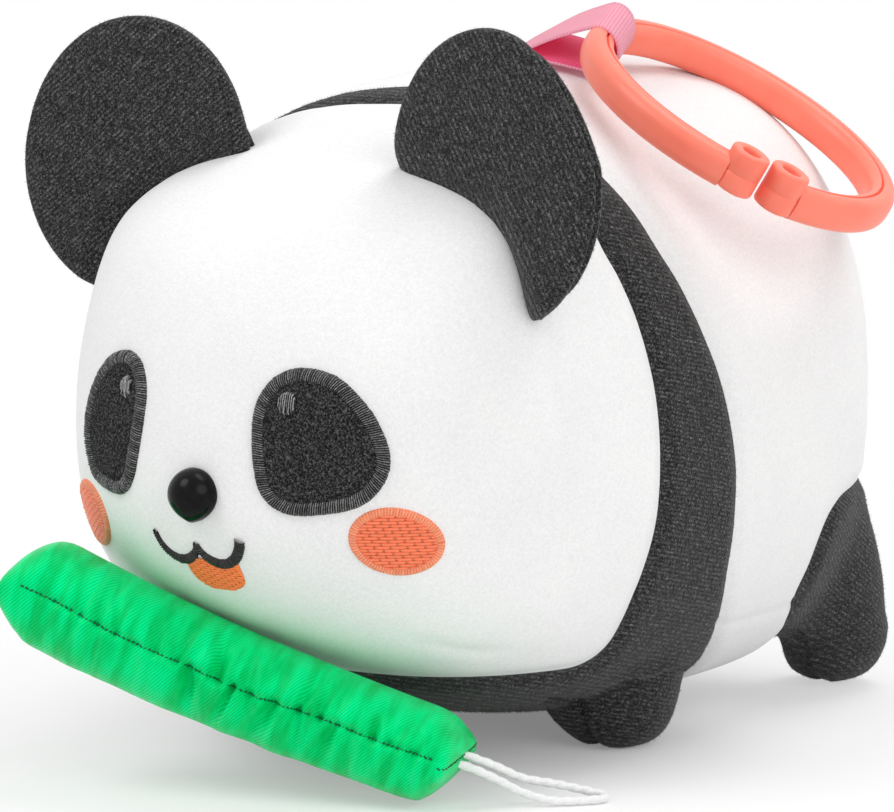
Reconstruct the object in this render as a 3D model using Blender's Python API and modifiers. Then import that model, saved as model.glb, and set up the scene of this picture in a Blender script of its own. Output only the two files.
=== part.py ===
"""Plush panda with a ribbon, a split carry ring and a loose satin bamboo stalk.

Metres, +Z up. The panda faces -Y, its own left flank is +X and it stands on z = 0.
The origin is the bottom centre of the box round everything but the cord.
"""
from math import acos, copysign, cos, exp, pi, radians, sin, sqrt, tau

import bmesh
import bpy
from mathutils import Matrix, Vector

MM = 0.001

# Stuffed loaf: head and body in one
BODY_WIDTH = 126 * MM
FRONT_REACH = 129 * MM
REAR_REACH = 46 * MM
WIDEST_Y = 42 * MM
CROWN_RISE = 67.5 * MM
BELLY_DROP = 62.5 * MM
BELLY_CLEARANCE = 4.5 * MM
FRONT_POWER = 3.1
REAR_POWER = 2.0
SIDE_POWER = 2.35
MUZZLE_RISE = 4.5 * MM
MUZZLE_HALF_WIDTH = 22 * MM
MUZZLE_HALF_HEIGHT = 18 * MM
MUZZLE_Z = 54 * MM
LOAF_SEGMENTS = 32
LOAF_RINGS = 20

# Cloth, seams and clearances
CLOTH = 1.6 * MM
SEAM_GAP = 0.4 * MM
FIT_GAP = 0.4 * MM
STUFFING_GAP = 0.7 * MM
EAR_SEAM_Y = -49.5 * MM
EAR_SEAM_SLOPE = -0.10
BAND_FRONT_Y = -25 * MM
BAND_FRONT_SLOPE = -0.06
BAND_REAR_Y = -2 * MM
BAND_REAR_SLOPE = -0.31
UNDERSIDE_Z = 22.5 * MM

# Legs: foot centres as shares of the loaf, half sizes, lean of the axis per unit of height
FOOT_FLAT_DEPTH = 0.5 * MM
FRONT_FOOT_SPREAD = 0.556
FRONT_FOOT_Y = 4 * MM
FRONT_LEG_RADIUS = 13 * MM
FRONT_LEG_HEIGHT = 34 * MM
FRONT_LEG_TAPER = 0.10
FRONT_LEG_LEAN = (0.10, -0.12)
HIND_FOOT_SPREAD = 0.585
HIND_FOOT_BACK = 0.84
HIND_LEG_RADIUS = 9.6 * MM
HIND_LEG_HEIGHT = 49 * MM
HIND_LEG_TAPER = -0.50
HIND_LEG_LEAN = (0.32, -0.38)
FRONT_LEG_POWER = 3.2
HIND_LEG_POWER = 2.5
LEG_SEGMENTS = 18
LEG_RINGS = 12

# Ears: centre and hinge as shares of the loaf's half width and crown, in front of the ear seam
EAR_SPREAD = 0.686
EAR_RISE = 0.77
EAR_FORWARD = 3.5 * MM
EAR_HALF_WIDTH = 24.9 * MM
EAR_HALF_HEIGHT = 27 * MM
EAR_HALF_DEPTH = 6.5 * MM
EAR_CUP = 4 * MM
EAR_TURN = radians(7)
EAR_GAP = 2.0 * MM
EAR_HINGE_SPREAD = 0.548
EAR_HINGE_RISE = 0.63
EAR_SEGMENTS = 24
EAR_RINGS = 14

# Face
EYE_CENTRE = (24.2 * MM, 71 * MM)
EYE_OUTLINE = ((-4, 13.8), (4, 12), (11, 3), (12.4, -2.5), (9, -10.6), (0.8, -13.2), (-7.2, -12.9),
               (-11, -7.5), (-12.5, 4.5), (-9.8, 11.5))
EYE_BORDER_SHARE = 0.80
EYE_STEPS = 2
PATCH_THICKNESS = 0.9 * MM
BORDER_THICKNESS = 1.3 * MM
HIGHLIGHT_CENTRE = (18.9 * MM, 78.3 * MM)
HIGHLIGHT_HALF = (1.7 * MM, 2.2 * MM)
CHEEK_CENTRE = (36.2 * MM, 52.8 * MM)
CHEEK_HALF = (7.2 * MM, 6.5 * MM)
STITCH_LIFT = 0.45 * MM
NOSE_Z = 60 * MM
NOSE_RADIUS = 5.2 * MM
NOSE_DEPTH = 5.0 * MM
STEM_RADIUS = 1.8 * MM
STEM_LENGTH = 9 * MM
WASHER_RADIUS = 6 * MM
WASHER_THICKNESS = 1.2 * MM
CLOTH_SAG = 2.2 * MM
MOUTH_PEAK_Z = 50.2 * MM
MOUTH_LOBE = (4.6 * MM, 46.3 * MM)
MOUTH_END = (9.6 * MM, 51.6 * MM)
MOUTH_RADIUS = 0.75 * MM
TONGUE_HALF_WIDTH = 6.6 * MM
TONGUE_BOTTOM_Z = 40.6 * MM
TONGUE_GAP = 0.75 * MM
MOUTH_STEPS = 9
TONGUE_STEPS = 8
SPARK_STEPS = 10
CHEEK_STEPS = 18
TURN_STEPS = 20

# Ribbon and ring
RIBBON_WIDTH = 12 * MM
RIBBON_THICKNESS = 0.7 * MM
RIBBON_Y = 18 * MM
RIBBON_LOOP_GAP = 1.0 * MM
RIBBON_TAIL = 8 * MM
RIBBON_RISE = 2.1 * MM
RIBBON_REACH = 21.5 * MM
RIBBON_STEPS = 12
RING_GAP = 1.0 * MM
RING_TILT = radians(33.2)
RING_ROLL = radians(1.4)
RING_YAW = radians(11)
RING_RADIUS = 31 * MM
RING_HALF_WIDTH = 3.0 * MM
RING_HALF_HEIGHT = 3.6 * MM
RING_STEPS = 48
RING_SECTION_POINTS = 12
RING_SECTION_POWER = 2.6
RING_OPENING = radians(125.5)
BARREL_RADIUS = 3.8 * MM
BARREL_HEIGHT = 8 * MM
BARREL_RISE = 1.2 * MM
BARREL_BORE = 1.9 * MM
BARREL_SPACING = 8.8 * MM

# Bamboo stalk and its cord
BAMBOO_FOOT_X = 42 * MM
BAMBOO_LEAN_GAP = 0.8 * MM
BAMBOO_YAW = radians(202.2)
BAMBOO_PITCH = radians(20.6)
BAMBOO_BEND = 3.2 * MM
BAMBOO_LENGTH = 95.5 * MM
BAMBOO_RADIUS = 10.2 * MM
BAMBOO_SWELL = 0.08
BAMBOO_POWER = 4.5
BAMBOO_END_SHARE = 0.90
BAMBOO_SEGMENTS = 18
BAMBOO_RINGS = 16
SATIN = 0.8 * MM
FLOOR_GAP = 0.3 * MM
CORD_RADIUS = 0.85 * MM
CORD_EXIT_GAP = 0.35 * MM
CORD_EXIT_DROP = 2.4 * MM
CORD_PITCH = 2.3 * MM
CORD_LOOP = ((6.6, 4.7, 1.6), (10.4, 7.9, 1.0), (15.0, 11.1, 0.95), (19.4, 14.9, 0.95), (21.6, 19.1, 0.95),
             (19.2, 21.3, 0.95), (15.4, 18.9, 0.95), (11.6, 14.1, 1.6), (8.6, 9.1, 3.0), (6.0, 5.3, 4.0))
CORD_STEPS = 2

HALF_WIDTH = BODY_WIDTH / 2
MID_Z = BELLY_CLEARANCE + BELLY_DROP
SIDES = (("left", 1), ("right", -1))


def new_material(name, colour, roughness):
    material = bpy.data.materials.new(name)
    material.use_nodes = True
    shader = material.node_tree.nodes["Principled BSDF"]
    shader.inputs["Base Color"].default_value = (*colour, 1)
    shader.inputs["Roughness"].default_value = roughness
    return material


def clear_scene():
    for obj in list(bpy.data.objects):
        bpy.data.objects.remove(obj)


def new_collection(name):
    collection = bpy.data.collections.new(name)
    bpy.context.scene.collection.children.link(collection)
    return collection


def add_object(name, data, material=None, pivot=(0, 0, 0)):
    """Put finished data in the scene, with the object's origin on the pivot."""
    obj = bpy.data.objects.new(name, data)
    PARTS.objects.link(obj)
    obj.parent = ROOT
    data.transform(Matrix.Translation(-Vector(pivot)))
    obj.location = pivot
    if material:
        data.materials.append(MATERIALS[material])
    return obj


def add_bmesh(name, bm, material=None, pivot=(0, 0, 0)):
    bmesh.ops.recalc_face_normals(bm, faces=bm.faces)
    mesh = bpy.data.meshes.new(name)
    bm.to_mesh(mesh)
    bm.free()
    mesh.shade_smooth()
    mesh.set_sharp_from_angle(angle=radians(40))
    return add_object(name, mesh, material, pivot)


def as_cutter(obj):
    PARTS.objects.unlink(obj)
    CUTTERS.objects.link(obj)
    obj.hide_render = True
    obj.display_type = "WIRE"
    return obj


def boolean(obj, cutter, operation="DIFFERENCE"):
    modifier = obj.modifiers.new(cutter.name, "BOOLEAN")
    modifier.operation = operation
    modifier.object = cutter


def solidify(obj, thickness, offset):
    modifier = obj.modifiers.new("Thickness", "SOLIDIFY")
    modifier.thickness = thickness
    modifier.offset = offset


def trim(bm, point, normal, fill=False):
    """Cut the mesh with a plane and drop the side the normal points to."""
    geometry = bm.verts[:] + bm.edges[:] + bm.faces[:]
    cut = bmesh.ops.bisect_plane(bm, geom=geometry, plane_co=point, plane_no=normal, dist=1e-7, clear_outer=True)
    if fill:
        edges = [item for item in cut["geom_cut"] if isinstance(item, bmesh.types.BMEdge)]
        bmesh.ops.edgeloop_fill(bm, edges=edges)


def muzzle_rise(x, y, z):
    """How far the muzzle swells forward of the plain loaf."""
    if y > WIDEST_Y:
        return 0.0
    across = x / MUZZLE_HALF_WIDTH
    along = (z - MUZZLE_Z) / MUZZLE_HALF_HEIGHT
    return MUZZLE_RISE * exp(-across * across - along * along)


def loaf_point(direction):
    """Surface point of the stuffed loaf for a direction on the unit ball."""
    reach, power = (FRONT_REACH, FRONT_POWER) if direction.y < 0 else (REAR_REACH, REAR_POWER)
    rise = CROWN_RISE if direction.z > 0 else BELLY_DROP
    plan = (abs(direction.x) ** power + abs(direction.y) ** power) ** (SIDE_POWER / power)
    scale = (plan + abs(direction.z) ** SIDE_POWER) ** (-1 / SIDE_POWER)
    x = direction.x * scale * HALF_WIDTH
    y = direction.y * scale * reach + WIDEST_Y
    z = direction.z * scale * rise + MID_Z
    return Vector((x, y - muzzle_rise(x, y, z), z))


def face_y(x, z):
    """Front of the loaf over a point of the face."""
    rise = CROWN_RISE if z > MID_Z else BELLY_DROP
    level = max(1 - abs((z - MID_Z) / rise) ** SIDE_POWER, 0) ** (FRONT_POWER / SIDE_POWER)
    run = max(level - abs(x / HALF_WIDTH) ** FRONT_POWER, 0) ** (1 / FRONT_POWER)
    y = WIDEST_Y - FRONT_REACH * run
    return y - muzzle_rise(x, y, z)


def face_point(x, z, lift):
    """Point standing clear of the face by a lift along its normal."""
    step = 0.2 * MM
    slope_x = (face_y(x + step, z) - face_y(x - step, z)) / (2 * step)
    slope_z = (face_y(x, z + step) - face_y(x, z - step)) / (2 * step)
    normal = Vector((slope_x, -1, slope_z)).normalized()
    return Vector((x, face_y(x, z), z)) + normal * lift


def top_z(x, y):
    """Top of the loaf over a point of its plan."""
    reach, power = (FRONT_REACH, FRONT_POWER) if y < WIDEST_Y else (REAR_REACH, REAR_POWER)
    plan = (abs(x / HALF_WIDTH) ** power + abs((y - WIDEST_Y) / reach) ** power) ** (SIDE_POWER / power)
    return MID_Z + CROWN_RISE * max(1 - plan, 0) ** (1 / SIDE_POWER)


def loaf_bmesh(inset=0.0):
    bm = bmesh.new()
    bmesh.ops.create_uvsphere(bm, u_segments=LOAF_SEGMENTS, v_segments=LOAF_RINGS, radius=1)
    for vert in bm.verts:
        vert.co = loaf_point(vert.co)
    bm.normal_update()
    for vert in bm.verts:
        vert.co -= vert.normal * inset
    return bm


def seam_plane(y, slope):
    """Point and normal, facing the rump, of a seam that leans with height."""
    return Vector((0, y, MID_Z)), Vector((0, 1, -slope)).normalized()


def ahead_of(seam):
    point, normal = seam
    return point - normal * SEAM_GAP / 2, normal


def behind(seam):
    point, normal = seam
    return point + normal * SEAM_GAP / 2, -normal


def cloth_panel(name, material, cuts):
    """A skin panel: the loaf's surface trimmed at its seams and thickened inwards."""
    bm = loaf_bmesh()
    for point, normal in cuts:
        trim(bm, point, normal)
    mesh = bpy.data.meshes.new(name)
    bm.to_mesh(mesh)
    bm.free()
    mesh.shade_smooth()
    panel = add_object(name, mesh, material)
    solidify(panel, CLOTH, -1)
    return panel


def make_skin():
    ear_seam = seam_plane(EAR_SEAM_Y, EAR_SEAM_SLOPE)
    band_front = seam_plane(BAND_FRONT_Y, BAND_FRONT_SLOPE)
    band_rear = seam_plane(BAND_REAR_Y, BAND_REAR_SLOPE)
    upper = (Vector((0, 0, UNDERSIDE_Z + SEAM_GAP / 2)), Vector((0, 0, -1)))
    under = (Vector((0, 0, UNDERSIDE_Z - SEAM_GAP / 2)), Vector((0, 0, 1)))
    panels = {
        "face_panel": cloth_panel("face_panel", "white_plush", (ahead_of(ear_seam), upper)),
        "rump_panel": cloth_panel("rump_panel", "white_plush", (behind(band_rear), upper)),
    }
    cloth_panel("neck_panel", "white_plush", (behind(ear_seam), ahead_of(band_front), upper))
    cloth_panel("shoulder_band", "black_plush", (behind(band_front), ahead_of(band_rear), upper))
    cloth_panel("chest_panel", "black_plush", (ahead_of(band_rear), under))
    cloth_panel("belly_panel", "white_plush", (behind(band_rear), under))
    return panels


def leg_bmesh(side, foot, radius, height, taper, lean, power):
    """A stuffed stub on a flat foot, swelling and tapering along a leaning axis."""
    bm = bmesh.new()
    bmesh.ops.create_uvsphere(bm, u_segments=LEG_SEGMENTS, v_segments=LEG_RINGS, radius=1)
    half = (height + FOOT_FLAT_DEPTH) / 2
    for vert in bm.verts:
        around = sqrt(vert.co.x ** 2 + vert.co.y ** 2)
        scale = (around ** power + abs(vert.co.z) ** power) ** (-1 / power)
        rise = vert.co.z * scale
        girth = radius * scale * (1 + taper * rise)
        z = half * (1 + rise) - FOOT_FLAT_DEPTH
        x = foot[0] + vert.co.x * girth + lean[0] * z
        y = foot[1] + vert.co.y * girth + lean[1] * z
        vert.co = (side * x, y, z)
    trim(bm, Vector((0, 0, 0)), Vector((0, 0, -1)), fill=True)
    return bm


def make_legs(loaf_cutter):
    front_foot = (FRONT_FOOT_SPREAD * HALF_WIDTH, FRONT_FOOT_Y)
    hind_foot = (HIND_FOOT_SPREAD * HALF_WIDTH, WIDEST_Y + HIND_FOOT_BACK * REAR_REACH)
    for word, side in SIDES:
        front = leg_bmesh(side, front_foot, FRONT_LEG_RADIUS, FRONT_LEG_HEIGHT, FRONT_LEG_TAPER, FRONT_LEG_LEAN,
                          FRONT_LEG_POWER)
        hind = leg_bmesh(side, hind_foot, HIND_LEG_RADIUS, HIND_LEG_HEIGHT, HIND_LEG_TAPER, HIND_LEG_LEAN,
                         HIND_LEG_POWER)
        boolean(add_bmesh("front_leg_" + word, front, "black_plush"), loaf_cutter)
        boolean(add_bmesh("hind_leg_" + word, hind, "black_plush"), loaf_cutter)


def ear_spot(side, spread, forward, rise):
    return Vector((side * spread * HALF_WIDTH, EAR_SEAM_Y - forward, MID_Z + rise * CROWN_RISE))


def make_ears(ear_cutter):
    """Stuffed discs, cupped forward and cut where they are sewn to the head."""
    for word, side in SIDES:
        bm = bmesh.new()
        bmesh.ops.create_uvsphere(bm, u_segments=EAR_SEGMENTS, v_segments=EAR_RINGS, radius=1)
        turn = Matrix.Rotation(-EAR_TURN * side, 3, "Z")
        centre = ear_spot(side, EAR_SPREAD, EAR_FORWARD, EAR_RISE)
        for vert in bm.verts:
            rim = vert.co.x ** 2 + vert.co.z ** 2
            local = Vector((vert.co.x * EAR_HALF_WIDTH, vert.co.y * EAR_HALF_DEPTH + EAR_CUP * (1 - rim),
                            vert.co.z * EAR_HALF_HEIGHT))
            vert.co = centre + turn @ local
        hinge = ear_spot(side, EAR_HINGE_SPREAD, 0, EAR_HINGE_RISE)
        ear = add_bmesh("ear_" + word, bm, "black_plush", pivot=hinge)
        boolean(ear, ear_cutter)


def smooth_loop(points, steps):
    """Closed smooth curve through the points, with some steps between each two."""
    count = len(points)
    loop = []
    for index in range(count):
        p0, p1, p2, p3 = (Vector(points[(index + shift) % count]) for shift in (-1, 0, 1, 2))
        for step in range(steps):
            loop.append(spline_point(p0, p1, p2, p3, step / steps))
    return loop


def spline_point(p0, p1, p2, p3, t):
    slope_in = (p2 - p0) / 2
    slope_out = (p3 - p1) / 2
    rise = 3 * t * t - 2 * t ** 3
    return (p1 * (1 - rise) + p2 * rise + slope_in * (t - 2 * t * t + t ** 3) + slope_out * (t ** 3 - t * t))


def oval(centre, half, count):
    return [Vector((centre[0] + half[0] * cos(tau * k / count), centre[1] + half[1] * sin(tau * k / count)))
            for k in range(count)]


def applique(name, outline, side, lift, thickness, material, inner=0.0, rings=3):
    """A thin piece lying on the face: an outline, drawn in by rings towards its middle."""
    middle = sum(outline, Vector((0, 0))) / len(outline)
    bm = bmesh.new()
    loops = []
    for ring in range(rings + 1):
        share = inner + (1 - inner) * ring / rings
        if share == 0:
            loops.append([bm.verts.new(face_point(side * middle.x, middle.y, lift))])
            continue
        spots = [middle + (point - middle) * share for point in outline]
        loops.append([bm.verts.new(face_point(side * spot.x, spot.y, lift)) for spot in spots])
    for small, large in zip(loops, loops[1:]):
        for k in range(len(large)):
            after = (k + 1) % len(large)
            if len(small) == 1:
                bm.faces.new((small[0], large[k], large[after]))
            else:
                bm.faces.new((small[k], large[k], large[after], small[after]))
    bmesh.ops.recalc_face_normals(bm, faces=bm.faces)
    if sum(face.normal.y for face in bm.faces) > 0:
        bmesh.ops.reverse_faces(bm, faces=bm.faces)
    mesh = bpy.data.meshes.new(name)
    bm.to_mesh(mesh)
    bm.free()
    piece = add_object(name, mesh, material)
    solidify(piece, thickness, 1)
    return piece


def make_eyes_and_cheeks():
    shape = [(EYE_CENTRE[0] + x * MM, EYE_CENTRE[1] + z * MM) for x, z in EYE_OUTLINE]
    rim = smooth_loop(shape, EYE_STEPS)
    middle = sum(rim, Vector((0, 0))) / len(rim)
    edge_gap = FIT_GAP / EYE_CENTRE[0]
    inside = [middle + (point - middle) * (EYE_BORDER_SHARE - edge_gap) for point in rim]
    spark = oval(HIGHLIGHT_CENTRE, HIGHLIGHT_HALF, SPARK_STEPS)
    spark_lift = STITCH_LIFT + PATCH_THICKNESS + FIT_GAP
    cheek = oval(CHEEK_CENTRE, CHEEK_HALF, CHEEK_STEPS)
    for word, side in SIDES:
        applique("eye_patch_" + word, inside, side, STITCH_LIFT, PATCH_THICKNESS, "black_felt")
        applique("eye_border_" + word, rim, side, STITCH_LIFT, BORDER_THICKNESS, "black_thread", EYE_BORDER_SHARE, 1)
        applique("eye_highlight_" + word, spark, side, spark_lift, PATCH_THICKNESS, "grey_thread", rings=1)
        applique("cheek_" + word, cheek, side, STITCH_LIFT, PATCH_THICKNESS, "orange_thread", rings=2)


def turned(name, profile, material, pivot):
    """A piece turned about an axis along Y, from (radius, depth behind the pivot) points."""
    bm = bmesh.new()
    verts = [bm.verts.new((radius, 0, -depth)) for radius, depth in profile]
    for first, second in zip(verts, verts[1:]):
        bm.edges.new((first, second))
    mesh = bpy.data.meshes.new(name)
    bm.to_mesh(mesh)
    bm.free()
    piece = add_object(name, mesh, material)
    piece.location = pivot
    piece.rotation_euler = (pi / 2, 0, 0)
    screw = piece.modifiers.new("Turn", "SCREW")
    screw.steps = screw.render_steps = TURN_STEPS
    screw.use_merge_vertices = True
    screw.merge_threshold = 1e-6
    return piece


def make_nose(face_panel, stuffing):
    """Moulded nose whose stem passes the cloth and is held by a washer inside."""
    back = face_y(0, NOSE_Z) - FIT_GAP
    pivot = (0, back, NOSE_Z)
    dome = [(NOSE_RADIUS * cos(k * pi / 10), -NOSE_DEPTH * sin(k * pi / 10)) for k in range(5, -1, -1)]
    stem = [(STEM_RADIUS, 0), (STEM_RADIUS, STEM_LENGTH), (0, STEM_LENGTH)]
    dome[0] = (0, -NOSE_DEPTH)
    turned("nose", dome + stem, "black_gloss", pivot)
    washer_front = FIT_GAP + CLOTH + CLOTH_SAG
    washer_back = washer_front + WASHER_THICKNESS
    bore = STEM_RADIUS + FIT_GAP
    turned("nose_washer", [(bore, washer_front), (WASHER_RADIUS, washer_front), (WASHER_RADIUS, washer_back),
                           (bore, washer_back), (bore, washer_front)], "clear_plastic", pivot)
    stem_end = STEM_LENGTH + FIT_GAP
    room = WASHER_RADIUS + FIT_GAP
    stem_hole = turned("stem_hole", [(0, -NOSE_DEPTH), (bore, -NOSE_DEPTH), (bore, stem_end), (0, stem_end)], None, pivot)
    nose_room = turned("nose_room", [(0, -NOSE_DEPTH), (room, -NOSE_DEPTH), (room, washer_back + FIT_GAP),
                                     (bore, washer_back + FIT_GAP), (bore, stem_end), (0, stem_end)], None, pivot)
    boolean(face_panel, as_cutter(stem_hole))
    boolean(stuffing, as_cutter(nose_room))


def tube(name, points, radius, material):
    curve = bpy.data.curves.new(name, "CURVE")
    curve.dimensions = "3D"
    curve.bevel_depth = radius
    curve.bevel_resolution = 1
    curve.use_fill_caps = True
    spline = curve.splines.new("POLY")
    spline.points.add(len(points) - 1)
    for spot, point in zip(spline.points, points):
        spot.co = (*point, 1)
    return add_object(name, curve, material)


def mouth_path(share):
    """Half of the mouth, from its peak in the middle (0) to its outer end (1)."""
    across = MOUTH_END[0] * share
    split = MOUTH_LOBE[0] / MOUTH_END[0]
    if share < split:
        z = MOUTH_LOBE[1] + (MOUTH_PEAK_Z - MOUTH_LOBE[1]) * (1 - share / split) ** 2
    else:
        z = MOUTH_LOBE[1] + (MOUTH_END[1] - MOUTH_LOBE[1]) * ((share - split) / (1 - split)) ** 2
    return across, z


def make_mouth():
    lift = STITCH_LIFT + MOUTH_RADIUS
    points = []
    for step in range(-MOUTH_STEPS, MOUTH_STEPS + 1):
        across, z = mouth_path(abs(step) / MOUTH_STEPS)
        points.append(face_point(copysign(across, step), z, lift))
    tube("mouth_stitch", points, MOUTH_RADIUS, "black_thread")

    drop = MOUTH_RADIUS + TONGUE_GAP
    outline = []
    for step in range(TONGUE_STEPS + 1):
        across = TONGUE_HALF_WIDTH * (2 * step / TONGUE_STEPS - 1)
        z = min(mouth_path(abs(across) / MOUTH_END[0])[1], MOUTH_LOBE[1] + MOUTH_RADIUS)
        outline.append(Vector((across, z - drop)))
    depth = outline[0].y - TONGUE_BOTTOM_Z
    for step in range(1, TONGUE_STEPS):
        angle = pi * step / TONGUE_STEPS
        outline.append(Vector((TONGUE_HALF_WIDTH * cos(angle), outline[0].y - depth * sin(angle))))
    applique("tongue", outline, 1, STITCH_LIFT, PATCH_THICKNESS, "orange_thread", rings=2)


def ribbon_hinge():
    """Where the folded ribbon leaves its seam in the back."""
    return Vector((0, RIBBON_Y, top_z(0, RIBBON_Y) + RIBBON_RISE))


def ring_bight():
    """Centre of the ring's section inside the ribbon, as low as lets the ring clear the loaf."""
    hinge = ribbon_hinge()
    rise = max(top_z(hinge.x + RIBBON_REACH + spot.x, hinge.y + spot.y) + RING_GAP - spot.z for spot in ring_points())
    return Vector((hinge.x + RIBBON_REACH, hinge.y, rise))


def ribbon_path():
    """Side view of the ribbon from its hinge: out under the ring, round it and back."""
    centre = ring_bight() - ribbon_hinge()
    centre = Vector((centre.x, centre.z))
    heading = centre.normalized()
    across = Vector((-heading.y, heading.x))
    bore = max(spot.length for spot in ring_section()) + RIBBON_LOOP_GAP + RIBBON_THICKNESS / 2
    wrap = pi - acos(bore / centre.length)
    layer = (RIBBON_THICKNESS + FIT_GAP) / 2
    path = [-across * layer]
    for step in range(RIBBON_STEPS + 1):
        turn = wrap * (2 * step / RIBBON_STEPS - 1)
        path.append(centre + (heading * cos(turn) + across * sin(turn)) * bore)
    path.append(across * layer)
    return path


def make_ribbon(rump_panel, stuffing):
    """A ribbon folded round the ring and sewn by its tail into the back."""
    hinge = ribbon_hinge()
    straight = Vector((0, 1, 0))
    along_ring = ring_turn() @ straight
    along_ring /= along_ring.y
    bm = bmesh.new()
    edges = []
    for spot in ribbon_path():
        edge = straight.lerp(along_ring, spot.x / RIBBON_REACH) * RIBBON_WIDTH / 2
        middle = hinge + Vector((spot.x, 0, spot.y))
        edges.append((bm.verts.new(middle - edge), bm.verts.new(middle + edge)))
    for first, second in zip(edges, edges[1:]):
        bm.faces.new((first[0], second[0], second[1], first[1]))
    mesh = bpy.data.meshes.new("back_ribbon")
    bm.to_mesh(mesh)
    bm.free()
    ribbon = add_object("back_ribbon", mesh, "pink_ribbon", pivot=hinge)
    solidify(ribbon, RIBBON_THICKNESS, 0)

    tail_size = Vector((2 * RIBBON_THICKNESS, RIBBON_WIDTH, RIBBON_TAIL))
    tail_middle = hinge - Vector((0, 0, 2 * RIBBON_THICKNESS + FIT_GAP + RIBBON_TAIL / 2))
    block("ribbon_tail", tail_size, tail_middle, "pink_ribbon")
    room = Vector((1, 1, 1)) * 2 * FIT_GAP
    above = Vector((0, 0, RIBBON_TAIL))
    slot = as_cutter(block("ribbon_slot", tail_size + room + above, tail_middle + above / 2, None))
    boolean(rump_panel, slot)
    boolean(stuffing, slot)


def block(name, size, middle, material):
    bm = bmesh.new()
    bmesh.ops.create_cube(bm, size=1)
    bmesh.ops.scale(bm, vec=size, verts=bm.verts)
    bmesh.ops.translate(bm, vec=middle, verts=bm.verts)
    return add_bmesh(name, bm, material)


def cylinder(name, radius, height, middle):
    bm = bmesh.new()
    bmesh.ops.create_cone(bm, cap_ends=True, segments=TURN_STEPS, radius1=radius, radius2=radius, depth=height)
    bmesh.ops.translate(bm, vec=middle, verts=bm.verts)
    return add_bmesh(name, bm)


def ring_turn():
    """How the ring lies: turned on its own axis, rolled a little, tilted down over the flank."""
    tilt = Matrix.Rotation(RING_TILT, 3, "Y") @ Matrix.Rotation(-RING_ROLL, 3, "X")
    return tilt @ Matrix.Rotation(RING_YAW, 3, "Z")


def ring_section():
    """Rounded section of the ring: outward and upward offsets from its centre line."""
    spots = []
    for k in range(RING_SECTION_POINTS):
        c, s = cos(tau * k / RING_SECTION_POINTS), sin(tau * k / RING_SECTION_POINTS)
        out = RING_HALF_WIDTH * copysign(abs(c) ** (2 / RING_SECTION_POWER), c)
        up = RING_HALF_HEIGHT * copysign(abs(s) ** (2 / RING_SECTION_POWER), s)
        spots.append(Vector((out, up)))
    return spots


def ring_loops():
    """Sections of the open ring in its own plane, with the ribbon's bight at the origin."""
    half_split = BARREL_SPACING / 2 / RING_RADIUS
    loops = []
    for step in range(RING_STEPS + 1):
        angle = RING_OPENING + half_split + (tau - 2 * half_split) * step / RING_STEPS
        loops.append([ring_spot(angle, spot.x, spot.y) for spot in ring_section()])
    return loops


def ring_spot(angle, out, up):
    """Point of the ring at an angle from the bight, outward and up from its centre line."""
    radius = RING_RADIUS + out
    return Vector((RING_RADIUS - radius * cos(angle), -radius * sin(angle), up))


def ring_points():
    turn = ring_turn()
    return [turn @ spot for loop in ring_loops() for spot in loop]


def make_ring():
    """Split ring: an arc of rounded section that ends in two upright barrels."""
    place = Matrix.Translation(ring_bight()) @ ring_turn().to_4x4()
    bm = bmesh.new()
    loops = [[bm.verts.new(spot) for spot in loop] for loop in ring_loops()]
    for first, second in zip(loops, loops[1:]):
        for k in range(RING_SECTION_POINTS):
            after = (k + 1) % RING_SECTION_POINTS
            bm.faces.new((first[k], first[after], second[after], second[k]))
    bm.faces.new(loops[0])
    bm.faces.new(loops[-1])
    ring = add_bmesh("carry_ring", bm, "coral_plastic")
    ring.matrix_local = place
    for word, side in (("first", -1), ("second", 1)):
        middle = ring_spot(RING_OPENING + side * BARREL_SPACING / 2 / RING_RADIUS, 0, BARREL_RISE)
        barrel = as_cutter(cylinder("barrel_" + word, BARREL_RADIUS, BARREL_HEIGHT, middle))
        bore = as_cutter(cylinder("barrel_bore_" + word, BARREL_BORE, BARREL_HEIGHT * 2, middle))
        barrel.matrix_local = place
        bore.matrix_local = place
        boolean(ring, barrel, "UNION")
        boolean(ring, bore)


def bamboo_matrix():
    """Places the stalk: its foot end on the floor, its side leaning on the chin."""
    turn = Matrix.Rotation(BAMBOO_YAW, 4, "Z") @ Matrix.Rotation(-BAMBOO_PITCH, 4, "Y")
    bm = bamboo_bmesh(0)
    points = [turn @ vert.co for vert in bm.verts]
    bm.free()
    lift = FLOOR_GAP - min(point.z for point in points)
    reach = min(face_y(BAMBOO_FOOT_X + point.x, point.z + lift) - point.y for point in points)
    return Matrix.Translation((BAMBOO_FOOT_X, reach - BAMBOO_LEAN_GAP, lift)) @ turn


def bamboo_point(direction):
    """Stuffed tube along X from its foot end at 0, from a ball with its poles turned to X."""
    along, around = direction.z, sqrt(direction.x ** 2 + direction.y ** 2)
    scale = (around ** BAMBOO_POWER + abs(along) ** BAMBOO_POWER) ** (-1 / BAMBOO_POWER)
    share = along * scale
    girth = BAMBOO_RADIUS * scale * (1 + BAMBOO_SWELL * share)
    bend = BAMBOO_BEND * max(share, 0) ** 2
    return Vector((BAMBOO_LENGTH / 2 * (1 + share), direction.x * girth, direction.y * girth + bend))


def bamboo_bmesh(inset):
    bm = bmesh.new()
    bmesh.ops.create_uvsphere(bm, u_segments=BAMBOO_SEGMENTS, v_segments=BAMBOO_RINGS, radius=1)
    for vert in bm.verts:
        vert.co = bamboo_point(vert.co)
    bm.normal_update()
    for vert in bm.verts:
        vert.co -= vert.normal * inset
    return bm


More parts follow.
